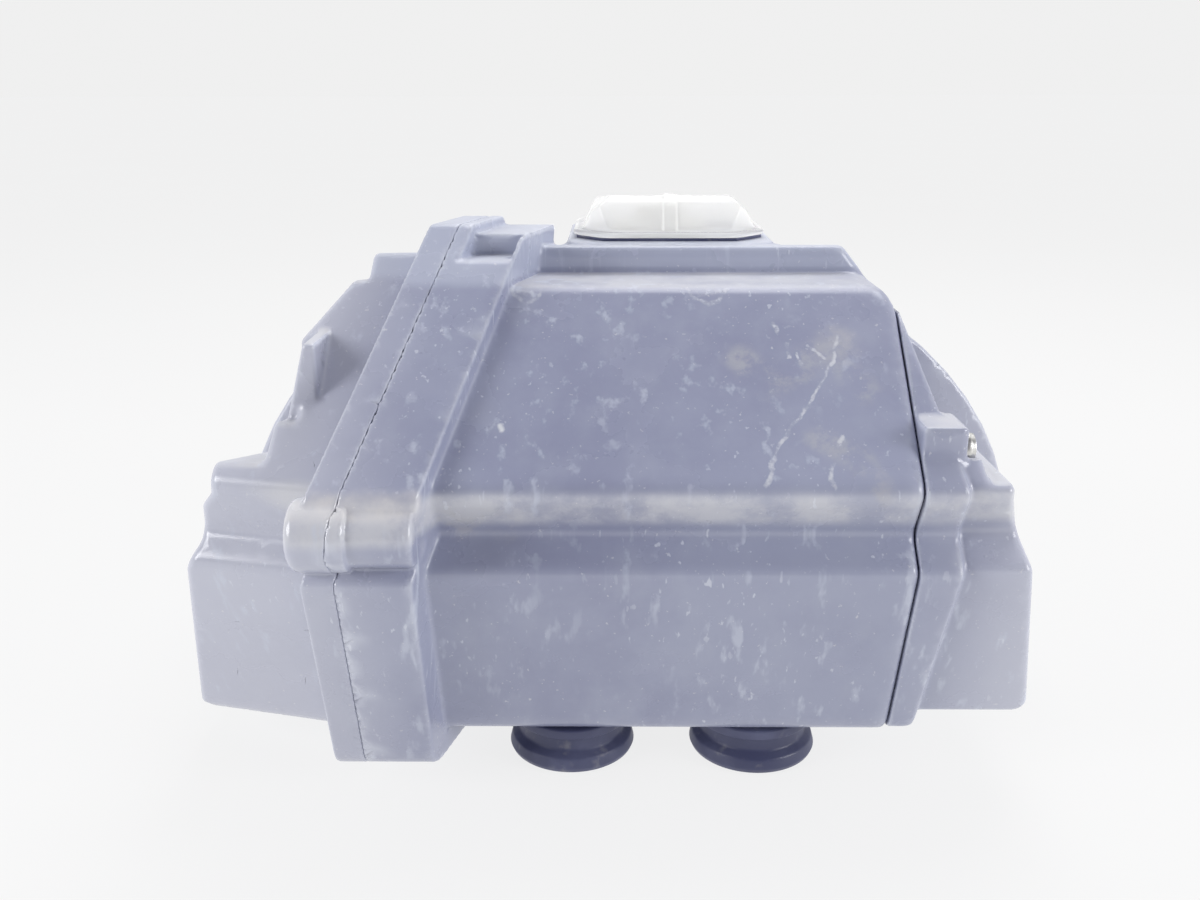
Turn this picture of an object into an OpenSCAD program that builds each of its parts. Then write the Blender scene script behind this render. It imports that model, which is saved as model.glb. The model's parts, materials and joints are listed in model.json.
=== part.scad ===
// Quarter-turn motorized valve actuator: moulded housing with two side covers
// and a rear cover, a clear indicator dome on top, two cable collars in front
// of the valve flange, and a three-stage spur gear drive inside.
// X to the right, Y to the back, Z up. The origin is on the output axis, in
// the face that meets the valve.

/* [Housing] */
// Height of the body's underside above the valve face
floor_z = 16; // [15:0.5:17]
// Height of the shoulder in front of the raised top
shoulder_z = 148; // [147:0.5:150]
// Rise of the top above the shoulder
top_rise = 8; // [6:0.5:9]
// Reach of the nose in front of the output axis
nose_reach = 115; // [114:0.5:117]
// Height of the lower line of the nose
nose_z = 78; // [77:0.5:80]
// Depth of the groove along the nose
groove_depth = 9; // [7:0.5:9]
// Distance from the output axis to the right-hand seam
seam_x = 67; // [66:0.5:69]
// Distance from the output axis back to the rear joint face
back_y = 56; // [55:0.5:59]
// Wall thickness of the mouldings
wall = 3; // [2.6:0.2:3.2]

/* [Left flange] */
// How far the flange stands proud of the body
flange_rise = 8; // [7:0.5:9]
// Left face of the cover's flange at the nose
flange_left = 97; // [96:0.5:98]
// Joint face between the cover and the body at the nose
flange_joint = 88; // [87.5:0.5:88.5]
// Right face of the body's flange at the nose
flange_right = 67; // [66:0.5:68]
// Sideways slope of the flange per unit of depth
flange_yaw = 0.27; // [0.25:0.01:0.28]
// Sideways slope of the flange per unit of height
flange_lean = 0.09; // [0.08:0.01:0.1]
// Outer radius of the screw boss at the nose
boss_r = 10; // [9.5:0.5:10.5]

/* [Cable collars] */
// Distance of each collar from the middle plane
collar_x = 29; // [28:0.5:30]
// Distance of the collars in front of the output axis
collar_reach = 71; // [70:0.5:72]
// Outer radius of a collar's lip
collar_lip_r = 20; // [19.5:0.25:20.5]
// Bore radius of a collar
collar_bore_r = 14.5; // [14:0.25:14.75]

/* [Valve flange] */
// Radius of the flange pad
pad_r = 45; // [44:0.5:46]
// Pitch circle diameter of the flange bolts
flange_pcd = 70; // [70:1:70]
// Core radius of the tapped flange holes
flange_hole_r = 3.4; // [3.3:0.05:3.5]
// Width across the flats of the drive socket
socket_square = 17; // [16:0.5:17]
// Depth of the drive socket
socket_depth = 20; // [19:0.5:22]

/* [Indicator dome] */
// Half of the dome's width
dome_half_w = 28.5; // [28:0.5:29]
// Half of the dome's depth
dome_half_d = 25; // [24:0.5:26]
// Height of the dome above the top
dome_h = 14; // [13:0.5:15]
// Wall thickness of the dome
dome_wall = 2; // [1.8:0.2:2.4]

/* [Gears] */
// Teeth on the output gear
output_teeth = 60; // [60:1:60]
// Teeth on each idler's large gear
idler_teeth = 48; // [48:1:48]
// Teeth on every pinion
pinion_teeth = 12; // [12:1:12]
// Module of the output stage
output_module = 1.5; // [1.5:0.1:1.5]
// Module of the middle stage
middle_module = 1.25; // [1.25:0.1:1.25]
// Module of the motor stage
motor_module = 1; // [1:0.1:1]

/* [Hidden] */
$fn = 48;
big = 400;

// Housing heights and the lines of its front
top_z = shoulder_z + top_rise;
lip_z = nose_z + 22.5;
groove_z = nose_z + 8;
chin_run = 22;          // how far the chin falls back below the nose
slope = 55 / 47.5;      // depth gained per unit of height on the front panel
plateau_y = -37;
bulkhead_y = -20;       // front wall of the rear bay
cover_back = bulkhead_y - 2;
inner_floor = floor_z + wall;
gasket_t = 1;
central_back = 42;
roof_y = plateau_y + 4; // the top falls away behind this line
roof_fall = 0.16;
dome_fall = 4;          // how far the dome's top falls to the rear
dome_x = 2.5;           // the dome's offset from the output axis
pad_edge = 5;           // flat rim round the dome
lip_gap = 0.25;         // gap left where a cover's rim meets the body
rim_t = 2;              // width of the rim that closes over a gasket

// Rear bay: a flattened arch
arch_x = -11;
arch_z = 50;
arch_a = 134;
arch_b = 104;
arch_top = 141;

// Left flange planes, turned to the flange's yaw and lean
yaw_angle = atan(flange_yaw);
lean_angle = atan(flange_lean * cos(yaw_angle));
cover_yaw = 14;
left_boss = [-nose_reach - 3, nose_z + 12.5];
left_boss_step = 2.5;   // length of the boss's wide part on the body
left_boss_length = 20;
left_boss_cap = 13.5;   // length of the boss on the cover
left_boss_recess = 2.6; // depth of the screw's seat in the boss
ledge_fall = 0.25;      // fall of the left cover's ledges to the rear
pocket_z = top_z - 1.4; // floor of the pocket in the flange's top
pocket_y = -49;
pocket_left = -83.2;    // flange planes on each side of the pocket
pocket_right = -69.7;
pocket_top = top_z + 5;
left_screw_places = [left_boss, [-36, top_z + 1.5], [-50, floor_z - 4]];
left_low_places = [for (i = [1:2]) left_screw_places[i]];
left_screw_r = 2.5;

// Right cover
right_depth = 12;       // flange band of the right cover
right_low_depth = 7.5;  // the same at its lower end
right_inset = 3;
right_boss = [-98, nose_z + 30.5];
right_boss_length = 12.5;
right_screw_places = [right_boss, [-84, 34], [-29, 30], [-29, 88]];

// Stack heights inside
lower_plate_z = 38;
upper_plate_z = 73;
plate_t = 3;
level_c = 43;           // output stage
level_b = 55.5;         // middle stage
level_a = 65;           // motor stage
face_c = 11;
face_b = 7;
face_a = 6;
second_at = [0, -output_module * (output_teeth + pinion_teeth) / 2];
first_dir = 208;
first_span = middle_module * (idler_teeth + pinion_teeth) / 2;
first_at = second_at + first_span * [cos(first_dir), sin(first_dir)];
motor_dir = 130;
motor_span = motor_module * (idler_teeth + pinion_teeth) / 2;
motor_at = first_at + motor_span * [cos(motor_dir), sin(motor_dir)];
pin_r = 3;
running = 0.05;
pressure_angle = 25;
backlash = 0.06;        // share of a tooth left free

// Angles that put each pair in mesh
second_angle = mesh_angle(-90, 0, output_teeth, pinion_teeth);
first_angle = mesh_angle(first_dir, 0, idler_teeth, pinion_teeth);
motor_angle = mesh_angle(motor_dir, 0, idler_teeth, pinion_teeth);

// Drive shaft steps
shaft_low_r = 17;
shaft_mid_r = 12;
shaft_top_r = 8;
shaft_tip_r = 6;
mid_z = 42;
top_step_z = 56;
tip_z = 132;
tip_top = top_z + 6;

// Feedback and switches
feedback_module = 0.8;
feedback_teeth = 48;
pot_teeth = 16;
feedback_z = 78;
feedback_t = 3;
pot_at = [0, feedback_module * (feedback_teeth + pot_teeth) / 2];
pot_angle = mesh_angle(90, 0, feedback_teeth, pot_teeth);
cam_base = 13;
cam_rise = 2;
cam_t = 6;
open_cam_z = 84;
close_cam_z = 99;
roller_r = 2.5;
roller_gap = 0.15;
lever_pivot = [19, 14];

frame_places = [[-46, 42], [50, 42], [52, -84], [-62, -84]];
motor_r = 19.5;
motor_h = 42;
motor_cap_h = 4;
motor_screw_span = 13;

// Right bay
board_x = 84;
board_t = 1.6;
board_y = [-92, -37];
board_z = [42, 94];
block_y = [-86, -44];
block_z = [52, 66];
terminal_count = 8;

side_wall_x = 65;       // side wall above the rear bay
post_r = 5;
post_inset = 7;         // from the outer face of a wall to a post's axis
rear_screw_r = 2;
right_screw_r = 2;
frame_screw_r = 1.7;
base_screw_r = 2.2;
rotor_shaft_r = 2.5;
hub_r = 25;
hub_top = 30;
bushing_r = 20;
seal_r = 10;
seal_t = 1;
collar_neck_r = 16;
left_boss_x = plane_x(-flange_joint, left_boss[0], left_boss[1]);
rear_screw_places = concat(
    [for (a = [22:34:158]) [arch_x + (arch_a - post_inset) * cos(a),
        min(arch_z + (arch_b - post_inset) * sin(a), arch_top - post_inset)]],
    [for (x = [-130, -50, 26, 106]) [x, floor_z + post_inset]]);
right_low_places = [for (i = [1:3]) right_screw_places[i]];
base_places = [for (a = [0:90:270]) polar(38, a)];
motor_screw_places = [for (a = [40, 220])
    motor_at + polar(motor_screw_span, a)];
bracket_places = [[44, -12], [44, 12]];
board_post_y = [-88, -41];
board_post_z = [46, 90];

housing_colour = [0.10, 0.12, 0.20];
rubber_colour = [0.07, 0.07, 0.09];
steel_colour = [0.72, 0.73, 0.75];

function mesh_angle(dir, a, n, m) = dir + 180 - 180 / m + (dir - a) * n / m;
function plane_x(x0, y, z) = x0 + flange_yaw * (y + nose_reach)
    + flange_lean * (z - nose_z);
function involute(a) = tan(a) * 180 / PI - a;
function flank(r, pitch_r, base_r, n) = 90 / n * (1 - backlash)
    + involute(pressure_angle) - involute(r > base_r ? acos(base_r / r) : 0);
function polar(r, a) = [r * cos(a), r * sin(a)];

// ---- shared shapes ----

// A spur gear outline with involute teeth, one tooth centred on +X
module gear_outline(m, n, steps) {
    pitch_r = m * n / 2;
    base_r = pitch_r * cos(pressure_angle);
    root_r = pitch_r - 1.2 * m;
    tip_r = pitch_r + 0.9 * m;
    low_r = max(root_r, base_r);
    radii = concat(low_r > root_r ? [root_r] : [],
        [for (i = [0:steps]) low_r + (tip_r - low_r) * i / steps]);
    last = len(radii) - 1;
    polygon([for (k = [0:n - 1]) each concat(
        [for (i = [0:last]) polar(radii[i],
            360 * k / n - flank(radii[i], pitch_r, base_r, n))],
        [for (i = [last:-1:0]) polar(radii[i],
            360 * k / n + flank(radii[i], pitch_r, base_r, n))])]);
}

module gear(m, n, face, angle, steps) {
    rotate([0, 0, angle]) linear_extrude(face) gear_outline(m, n, steps);
}

// A cylinder that points along +X from x0 to x1
module x_rod(x0, x1, y, z, r) {
    translate([x0, y, z]) rotate([0, 90, 0]) cylinder(h = x1 - x0, r = r);
}

// A cylinder that points along +Y from y0 to y1
module y_rod(y0, y1, x, z, r) {
    translate([x, y0, z]) rotate([-90, 0, 0]) cylinder(h = y1 - y0, r = r);
}

module z_rod(z0, z1, at, r) {
    translate([at[0], at[1], z0]) cylinder(h = z1 - z0, r = r);
}

// Extrude a Y-Z outline along X, from x0 to x1
module along_x(x0, x1) {
    translate([x0, 0, 0]) rotate([90, 0, 90]) linear_extrude(x1 - x0) children();
}

// Extrude an X-Z outline along Y, from y0 to y1
module along_y(y0, y1) {
    translate([0, y1, 0]) rotate([90, 0, 0]) linear_extrude(y1 - y0) children();
}

// Everything to the left of an oblique flange plane
module left_of(x0) {
    translate([x0, -nose_reach, nose_z]) rotate([0, lean_angle, -yaw_angle])
        translate([-big, -big, -big]) cube([big, 2 * big, 2 * big]);
}

// Everything between two oblique flange planes
module flange_slab(x0, x1) {
    difference() {
        left_of(x1);
        left_of(x0);
    }
}

// Front outline of the housing in Y-Z: chin, nose, groove and front panel
module nose_outline(front, groove, top, back) {
    polygon([
        [-(front - chin_run), floor_z], [-front, nose_z],
        [-(front - groove), groove_z], [-front, lip_z],
        [-front + slope * (top - lip_z), top], [back, top], [back, floor_z]
    ]);
}

// The arch of the rear bay in X-Z
module arch_outline() {
    polygon(concat([[arch_x + arch_a, floor_z]],
        [for (a = [0:12:180])
            [arch_x + arch_a * cos(a), min(arch_z + arch_b * sin(a), arch_top)]],
        [[arch_x - arch_a, floor_z]]));
}

// The flat top with its sloped right end, in X-Z
module plateau_outline() {
    polygon([[-60, shoulder_z - 6], [-60, top_z], [58, top_z],
        [65, shoulder_z], [65, shoulder_z - 6]]);
}

// ---- housing ----

module flange_outline(grow) {
    intersection() {
        offset(delta = grow)
            nose_outline(nose_reach, groove_depth, top_z, bulkhead_y);
        translate([-big, -big]) square([big + cover_back, 2 * big]);
    }
}

// The middle of the housing, grown inward by t, open at both sides in front
module central_prism(t) {
    difference() {
        along_x(-140, seam_x + t) offset(delta = -t)
            nose_outline(nose_reach, groove_depth, shoulder_z, central_back);
        left_of(-flange_joint - t);
        translate([-big, cover_back, -big])
            cube([big - side_wall_x + t, big, 2 * big]);
        translate([seam_x - t, cover_back - 4 * t, -big]) cube([big, big, 2 * big]);
    }
}

// The raised top, cut clear of the left flange
module plateau(t) {
    difference() {
        along_y(plateau_y + t, central_back - t)
            offset(delta = -t) plateau_outline();
        left_of(-flange_right - 2 * t);
    }
}

module rear_bay(t) {
    along_y(bulkhead_y + t, back_y + t) offset(delta = -t) arch_outline();
}

// The space under the roof, which falls away to the rear, less t
module under_roof(t) {
    along_x(-big, big) polygon([[-big, -big], [-big, top_z - t],
        [roof_y, top_z - t], [roof_y + big, top_z - t - roof_fall * big],
        [roof_y + big, -big]]);
}

// The flat pad under the dome, less t
module dome_pad(t) {
    edge = pad_edge - t;
    translate([dome_x - dome_half_w - edge, -dome_half_d - edge, top_z - 20])
        cube([2 * (dome_half_w + edge), 2 * (dome_half_d + edge), 20 - t]);
}

module body_outer() {
    intersection() {
        union() {
            central_prism(0);
            plateau(0);
            rear_bay(0);
        }
        under_roof(0);
    }
    dome_pad(0);
    difference() {
        intersection() {
            along_x(-140, seam_x) flange_outline(flange_rise);
            flange_slab(-flange_joint, -flange_right);
        }
        intersection() {
            flange_slab(pocket_left, pocket_right);
            translate([-big, -big, pocket_z]) cube([big, big + pocket_y, big]);
        }
        intersection() {
            flange_slab(pocket_left, 0);
            translate([-big, -big, pocket_top]) cube([big, big, big]);
        }
    }
    x_rod(left_boss_x, left_boss_x + left_boss_step, left_boss[0], left_boss[1],
        boss_r);
    x_rod(left_boss_x, left_boss_x + left_boss_length, left_boss[0],
        left_boss[1], boss_r - 0.8);
}

module y_rods(y0, y1, places, r) {
    for (p = places) y_rod(y0, y1, p[0], p[1], r);
}

module body() {
    color(housing_colour) difference() {
        union() {
            difference() {
                body_outer();
                intersection() {
                    union() {
                        central_prism(wall);
                        plateau(wall);
                        rear_bay(wall);
                    }
                    under_roof(wall);
                }
                dome_pad(wall);
            }
            intersection() {
                rear_bay(0);
                y_rods(back_y - 14, back_y, rear_screw_places, post_r);
            }
            for (p = frame_places) z_rod(inner_floor - 1, lower_plate_z, p, 5);
            for (p = right_low_places) x_rod(seam_x - 8, seam_x, p[0], p[1], post_r);
            z_rod(inner_floor - 1, right_low_places[0][1],
                [seam_x - 4, right_low_places[0][0]], 3.5);
        }
        intersection() {
            left_of(-flange_joint);
            translate([-big, -big, -big]) cube([big, big + cover_back, 2 * big]);
        }
        for (p = left_screw_places)
            x_rod(plane_x(-flange_joint, p[0], p[1]) - 2,
                plane_x(-flange_joint, p[0], p[1]) + 16, p[0], p[1],
                left_screw_r);
        for (p = right_low_places)
            x_rod(seam_x - 7, seam_x + 1, p[0], p[1], right_screw_r);
        y_rods(back_y - 12, back_y + 1, rear_screw_places, rear_screw_r);
        for (p = frame_places)
            z_rod(lower_plate_z - 12, lower_plate_z + 1, p, frame_screw_r);
        for (p = base_places) z_rod(floor_z - 1, inner_floor + 1, p, base_screw_r);
        z_rod(floor_z - 1, inner_floor + 1, [0, 0], hub_r + 0.2);
        z_rod(top_z - wall - 1, top_z + 1, [0, 0], seal_r);
        for (s = [-1, 1]) z_rod(floor_z - 1, inner_floor + 1,
            [s * collar_x, -collar_reach], collar_neck_r);
    }
}

// Ends and ledges of the left cover in X-Z; rise stretches what lies above
// the lip, to make up for the fall of the ledges
module left_cover_outline(rise) {
    points = [[-40, floor_z - 5], [-151, floor_z - 5], [-139.5, nose_z - 4],
        [-135, nose_z + 4], [-133, lip_z - 7], [-129, lip_z - 3],
        [-128.5, lip_z + 4.5], [-113.5, lip_z + 4.5], [-112.5, lip_z + 13.5],
        [-105, lip_z + 13.5], [-110.5, lip_z + 30], [-108.5, lip_z + 33],
        [-95, shoulder_z], [-90.5, shoulder_z], [-90, top_z - 1],
        [-40, top_z - 1]];
    polygon([for (p = points) [p[0], p[1] > lip_z
        ? lip_z + (p[1] - lip_z) * rise : p[1]]]);
}

// Upright fin on the cover's shoulder, with a hollow behind it
module left_cover_fin() {
    along_y(-84, -60) polygon([[-110, lip_z + 10], [-100, lip_z + 10],
        [-100, lip_z + 34], [-103.5, lip_z + 34]]);
}

// Cover moulding beyond the flange, inset by t
module left_cover_form(t) {
    fall_angle = atan(ledge_fall);
    difference() {
        intersection() {
            translate([-flange_left, -nose_reach + 8, 0])
                rotate([0, 0, -cover_yaw]) along_x(-80, 60)
                    offset(delta = -t)
                    left_nose_outline();
            along_y(-big, cover_back - t) offset(delta = -t)
                left_cover_outline(1.2);
            translate([0, -nose_reach + 8, lip_z]) rotate([-fall_angle, 0, 0])
                along_y(-big, big) offset(delta = -t)
                    translate([0, -lip_z * cos(fall_angle)])
                    scale([1, cos(fall_angle)])
                    left_cover_outline(1 + ledge_fall * slope);
        }
        difference() {
            cube(2 * big, center = true);
            left_of(-flange_joint - gasket_t + t);
        }
    }
}

// The nose line of the left cover sits a little lower than the body's
module left_nose_outline() {
    polygon([[chin_run, floor_z - 5], [0, nose_z - 4],
        [groove_depth - 3, nose_z + 4],
        [0, lip_z - 2], [slope * (top_z - lip_z), top_z], [130, top_z],
        [130, floor_z - 5]]);
}

module left_cover() {
    joint = -flange_joint - gasket_t;
    color(housing_colour) difference() {
        union() {
            difference() {
                union() {
                    left_cover_form(0);
                    left_cover_fin();
                    intersection() {
                        along_x(-160, 0) flange_outline(flange_rise);
                        flange_slab(-flange_left, -flange_joint - lip_gap);
                    }
                }
                left_cover_form(wall);
                intersection() {
                    along_x(-160, 0) flange_outline(-wall);
                    flange_slab(-flange_left - 1, joint + 2);
                }
            }
            x_rod(left_boss_x - left_boss_cap, left_boss_x, left_boss[0],
                left_boss[1], boss_r);
            for (p = left_low_places)
                x_rod(plane_x(-flange_left, p[0], p[1]) - 2.5,
                    plane_x(joint, p[0], p[1]), p[0], p[1], 5.5);
        }
        difference() {
            translate([-200, -200, -50]) cube([200, 200, 300]);
            left_of(-flange_joint - lip_gap);
        }
        intersection() {
            along_x(-160, 0) flange_outline(flange_rise - rim_t);
            flange_slab(joint, 0);
        }
        for (p = left_screw_places)
            x_rod(plane_x(-flange_left, p[0], p[1]) - 12,
                plane_x(joint, p[0], p[1]) + 3, p[0], p[1], left_screw_r + 0.3);
        x_rod(left_boss_x - left_boss_cap - 1,
            left_boss_x - left_boss_cap + left_boss_recess, left_boss[0],
            left_boss[1], 5.4);
        for (p = left_low_places) x_rod(plane_x(-flange_left, p[0], p[1]) - 9,
            plane_x(-flange_left, p[0], p[1]) - 2.5, p[0], p[1], 4.4);
    }
}

module left_gasket() {
    color(rubber_colour) difference() {
        intersection() {
            along_x(-160, 0) difference() {
                flange_outline(flange_rise - rim_t - 0.2);
                flange_outline(-wall + 0.5);
            }
            flange_slab(-flange_joint - gasket_t, -flange_joint);
        }
        for (p = left_screw_places)
            x_rod(-140, -40, p[0], p[1], left_screw_r + 0.4);
    }
}

module pan_head_x(x, y, z, r, h) {
    difference() {
        union() {
            x_rod(x - h * 0.6, x, y, z, r);
            x_rod(x - h, x - h * 0.6, y, z, r - 0.6);
        }
        x_rod(x - h - 1, x - h * 0.4, y, z, r * 0.45);
    }
}

module left_cover_screws() {
    color(steel_colour) for (i = [0:2]) {
        p = left_screw_places[i];
        head = i == 0 ? left_boss_x - left_boss_cap + left_boss_recess
            : plane_x(-flange_left, p[0], p[1]) - 2.5;
        pan_head_x(head, p[0], p[1], i == 0 ? 4.8 : 3.7, 3.2);
        x_rod(head, plane_x(-flange_joint, p[0], p[1]) + 14, p[0], p[1],
            left_screw_r - 0.05);
    }
}

module right_band_outline() {
    polygon([[seam_x, floor_z + 2], [seam_x + right_low_depth, floor_z + 2],
        [seam_x + right_depth, nose_z], [seam_x + right_depth, lip_z],
        [seam_x + 6, 122], [seam_x, shoulder_z - 5]]);
}

module right_cover_outline() {
    polygon([[seam_x, floor_z + 7.5], [109, floor_z + 7.5], [98.5, nose_z],
        [96, groove_z], [92, lip_z - 3], [91.5, lip_z + 1.5],
        [seam_x + 18, lip_z + 1.5], [seam_x + 17, lip_z + 8],
        [seam_x, lip_z + 10]]);
}

module right_cover_form(t) {
    start = seam_x + lip_gap;
    intersection() {
        along_x(start - t, 130) offset(delta = -t)
            nose_outline(nose_reach, groove_depth, shoulder_z, cover_back);
        along_y(-big, 0) offset(delta = -t) right_band_outline();
    }
    intersection() {
        along_x(start - t, 130) offset(delta = -t)
            nose_outline(nose_reach - right_inset, groove_depth, shoulder_z,
                cover_back);
        along_y(-big, 0) offset(delta = -t) right_cover_outline();
    }
}

module right_cover() {
    joint = seam_x + gasket_t;
    color(housing_colour) difference() {
        union() {
            difference() {
                union() {
                    right_cover_form(0);
                    x_rod(seam_x + lip_gap, seam_x + right_boss_length,
                        right_boss[0], right_boss[1], 8);
                }
                right_cover_form(wall);
                along_x(joint - 1, joint + wall + 1) offset(delta = -wall)
                    nose_outline(nose_reach, groove_depth, lip_z + 12,
                        cover_back);
                along_x(seam_x, joint) offset(delta = -rim_t)
                    nose_outline(nose_reach, groove_depth, shoulder_z,
                        cover_back);
            }
            x_rod(joint, seam_x + right_boss_length, right_boss[0],
                right_boss[1], 7.5);
            for (p = right_low_places) {
                x_rod(joint, right_screw_x(p[1]), p[0], p[1], post_r);
                x_rod(right_screw_x(p[1]) - 4, right_wall_x(p[1]), p[0], p[1],
                    post_r + 1.8);
            }
            for (y = board_post_y, z = board_post_z)
                x_rod(board_x + board_t, right_wall_x(z), y, z, 3);
        }
        for (p = right_screw_places)
            x_rod(joint - 1, 130, p[0], p[1], right_screw_r + 0.3);
        for (p = right_low_places)
            x_rod(right_screw_x(p[1]) - 1, 130, p[0], p[1], 5.2);
        x_rod(seam_x + right_boss_length, seam_x + right_boss_length + 6,
            right_boss[0], right_boss[1], 5.4);
        for (y = board_post_y, z = board_post_z)
            x_rod(board_x + board_t - 1, board_x + board_t + 8, y, z, 1.3);
    }
}

function right_wall_x(z) = 109 - (z - floor_z - 7.5) * 10.5 / 54.5 - 1.5;
function right_screw_x(z) = right_wall_x(z) - 4;

module right_gasket() {
    color(rubber_colour) difference() {
        along_x(seam_x, seam_x + gasket_t) difference() {
            offset(delta = -rim_t - 0.2)
                nose_outline(nose_reach, groove_depth, lip_z + 18, cover_back);
            offset(delta = -wall - 2)
                nose_outline(nose_reach, groove_depth, lip_z + 18, cover_back);
            translate([-big, -big]) square([2 * big, big + floor_z + 2.5]);
        }
        for (p = right_screw_places)
            x_rod(seam_x - 1, seam_x + 3, p[0], p[1], right_screw_r + 0.4);
    }
}

module right_cover_screws() {
    color(steel_colour) for (i = [0:3]) {
        p = right_screw_places[i];
        head = i == 0 ? seam_x + right_boss_length : right_screw_x(p[1]) - 1;
        end = i == 0 ? seam_x + 2 : seam_x - 6;
        mirror([1, 0, 0]) pan_head_x(-head, p[0], p[1], 4.8, 3.2);
        x_rod(end, head + 0.5, p[0], p[1], right_screw_r - 0.05);
    }
}

module rear_cover() {
    color(housing_colour) difference() {
        union() {
            along_y(back_y + gasket_t, back_y + gasket_t + 4) arch_outline();
            along_y(back_y + gasket_t + 4, back_y + gasket_t + 7)
                offset(delta = -14) arch_outline();
            for (x = [-96:24:72]) translate([x, back_y + gasket_t + 6, 34])
                cube([3, 3, 66 - abs(x - arch_x) / 4]);
        }
        for (p = rear_screw_places) {
            y_rod(back_y, back_y + 12, p[0], p[1], rear_screw_r + 0.3);
            y_rod(back_y + gasket_t + 4, back_y + 12, p[0], p[1], 6);
        }
    }
}

module rear_gasket() {
    color(rubber_colour) difference() {
        along_y(back_y, back_y + gasket_t) difference() {
            offset(delta = -0.5) arch_outline();
            offset(delta = -wall - 3) arch_outline();
        }
        for (p = rear_screw_places)
            y_rod(back_y - 1, back_y + 3, p[0], p[1], post_r + 0.3);
    }
}

module rear_cover_screws() {
    head_y = back_y + gasket_t + 4;
    color(steel_colour) for (p = rear_screw_places) {
        y_rod(back_y - 11, head_y, p[0], p[1], rear_screw_r - 0.05);
        difference() {
            union() {
                y_rod(head_y, head_y + 2, p[0], p[1], 4.6);
                y_rod(head_y + 2, head_y + 3.2, p[0], p[1], 4);
            }
            y_rod(head_y + 1.4, head_y + 4, p[0], p[1], 2);
        }
    }
}

// ---- indicator ----

module dome_plan(t) {
    offset(delta = -t) polygon([
        [-dome_half_w, -dome_half_d + 9], [-dome_half_w + 8, -dome_half_d],
        [dome_half_w - 8, -dome_half_d], [dome_half_w, -dome_half_d + 9],
        [dome_half_w, dome_half_d - 9], [dome_half_w - 8, dome_half_d],
        [-dome_half_w + 8, dome_half_d], [-dome_half_w, dome_half_d - 9]]);
}

module dome_form(t) {
    low = top_z + seal_t;
    intersection() {
        translate([0, 0, low]) linear_extrude(dome_h - t) dome_plan(t);
        along_y(-60, 60) polygon([[-dome_half_w + t, low],
            [-dome_half_w + t, low + 7], [-dome_half_w + 7 + t / 2, top_z + dome_h],
            [dome_half_w - 7 - t / 2, top_z + dome_h], [dome_half_w - t, low + 7],
            [dome_half_w - t, low]]);
        along_x(-60, 60) polygon([[-dome_half_d + t, low],
            [-dome_half_d + 5 + t, top_z + dome_h],
            [dome_half_d - 5 - t, top_z + dome_h - dome_fall],
            [dome_half_d - t, low]]);
    }
}

module indicator_dome() {
    color([0.85, 0.87, 0.88, 0.4]) translate([dome_x, 0, 0]) difference() {
        union() {
            dome_form(0);
            translate([0, 0, top_z + seal_t]) linear_extrude(2.2) dome_plan(-3);
            intersection() {
                along_y(-60, 60) translate([-2.2, top_z + seal_t])
                    square([4.4, dome_h]);
                translate([0, 0, top_z + seal_t]) linear_extrude(dome_h)
                    dome_plan(-0.8);
                along_x(-60, 60) polygon([[-dome_half_d - 0.8, top_z + seal_t],
                    [-dome_half_d + 4.2, top_z + dome_h + 0.8],
                    [dome_half_d - 4.2, top_z + dome_h + 0.8 - dome_fall],
                    [dome_half_d + 0.8, top_z + seal_t]]);
            }
        }
        translate([0, 0, -0.01]) dome_form(dome_wall);
        translate([0, 0, top_z]) linear_extrude(2) dome_plan(dome_wall);
    }
}

module dome_seal() {
    color(rubber_colour) translate([dome_x, 0, top_z]) linear_extrude(seal_t)
        difference() {
            dome_plan(-2);
            dome_plan(dome_wall);
        }
}

module indicator_dial() {
    color("whitesmoke") difference() {
        z_rod(top_z, top_z + 0.8, [0, 0], 19);
        z_rod(top_z - 1, top_z + 2, [0, 0], seal_r + 0.5);
    }
}

module position_indicator() {
    color("gold") difference() {
        union() {
            z_rod(top_z + 1.3, top_z + 4, [0, 0], 16);
            translate([-3, -15, top_z + 4]) cube([6, 30, 4]);
            z_rod(top_z + 4, tip_top + 2.5, [0, 0], 8);
        }
        z_rod(top_z, tip_top, [0, 0], shaft_tip_r);
    }
}

// ---- cable collars ----

module cable_collar(x) {
    color(rubber_colour) translate([x, -collar_reach, 0])
        rotate_extrude($fn = 96) polygon([
            [collar_bore_r, 0.5], [collar_lip_r, 0.5],
            [collar_lip_r, 3.2], [collar_lip_r - 2.4, 5.4],
            [collar_lip_r - 2.4, 9], [collar_lip_r - 1, 10.5],
            [collar_lip_r - 1, floor_z], [collar_neck_r, floor_z],
            [collar_neck_r, inner_floor], [collar_neck_r + 2, inner_floor],
            [collar_neck_r + 1, inner_floor + 2.4],
            [collar_bore_r, inner_floor + 2.4]]);
}

module left_cable_collar() {
    cable_collar(-collar_x);
}

module right_cable_collar() {
    cable_collar(collar_x);
}

// ---- valve flange and drive shaft ----

module base_plate() {
    color("darkgray") difference() {
        union() {
            z_rod(0, floor_z, [0, 0], pad_r);
            z_rod(floor_z - 1, hub_top, [0, 0], hub_r);
        }
        z_rod(-1, hub_top + 1, [0, 0], bushing_r);
        for (a = [45:90:315])
            z_rod(-1, 13, polar(flange_pcd / 2, a), flange_hole_r);
        for (p = base_places) z_rod(floor_z - 10, floor_z + 1, p, base_screw_r);
        difference() {
            z_rod(floor_z - 2, floor_z + 1, [0, 0], 31);
            z_rod(floor_z - 3, floor_z + 2, [0, 0], 28);
        }
    }
}

module base_seal() {
    color(rubber_colour) translate([0, 0, floor_z - 1]) rotate_extrude()
        translate([29.5, 0]) circle(r = 0.95, $fn = 24);
}

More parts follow.
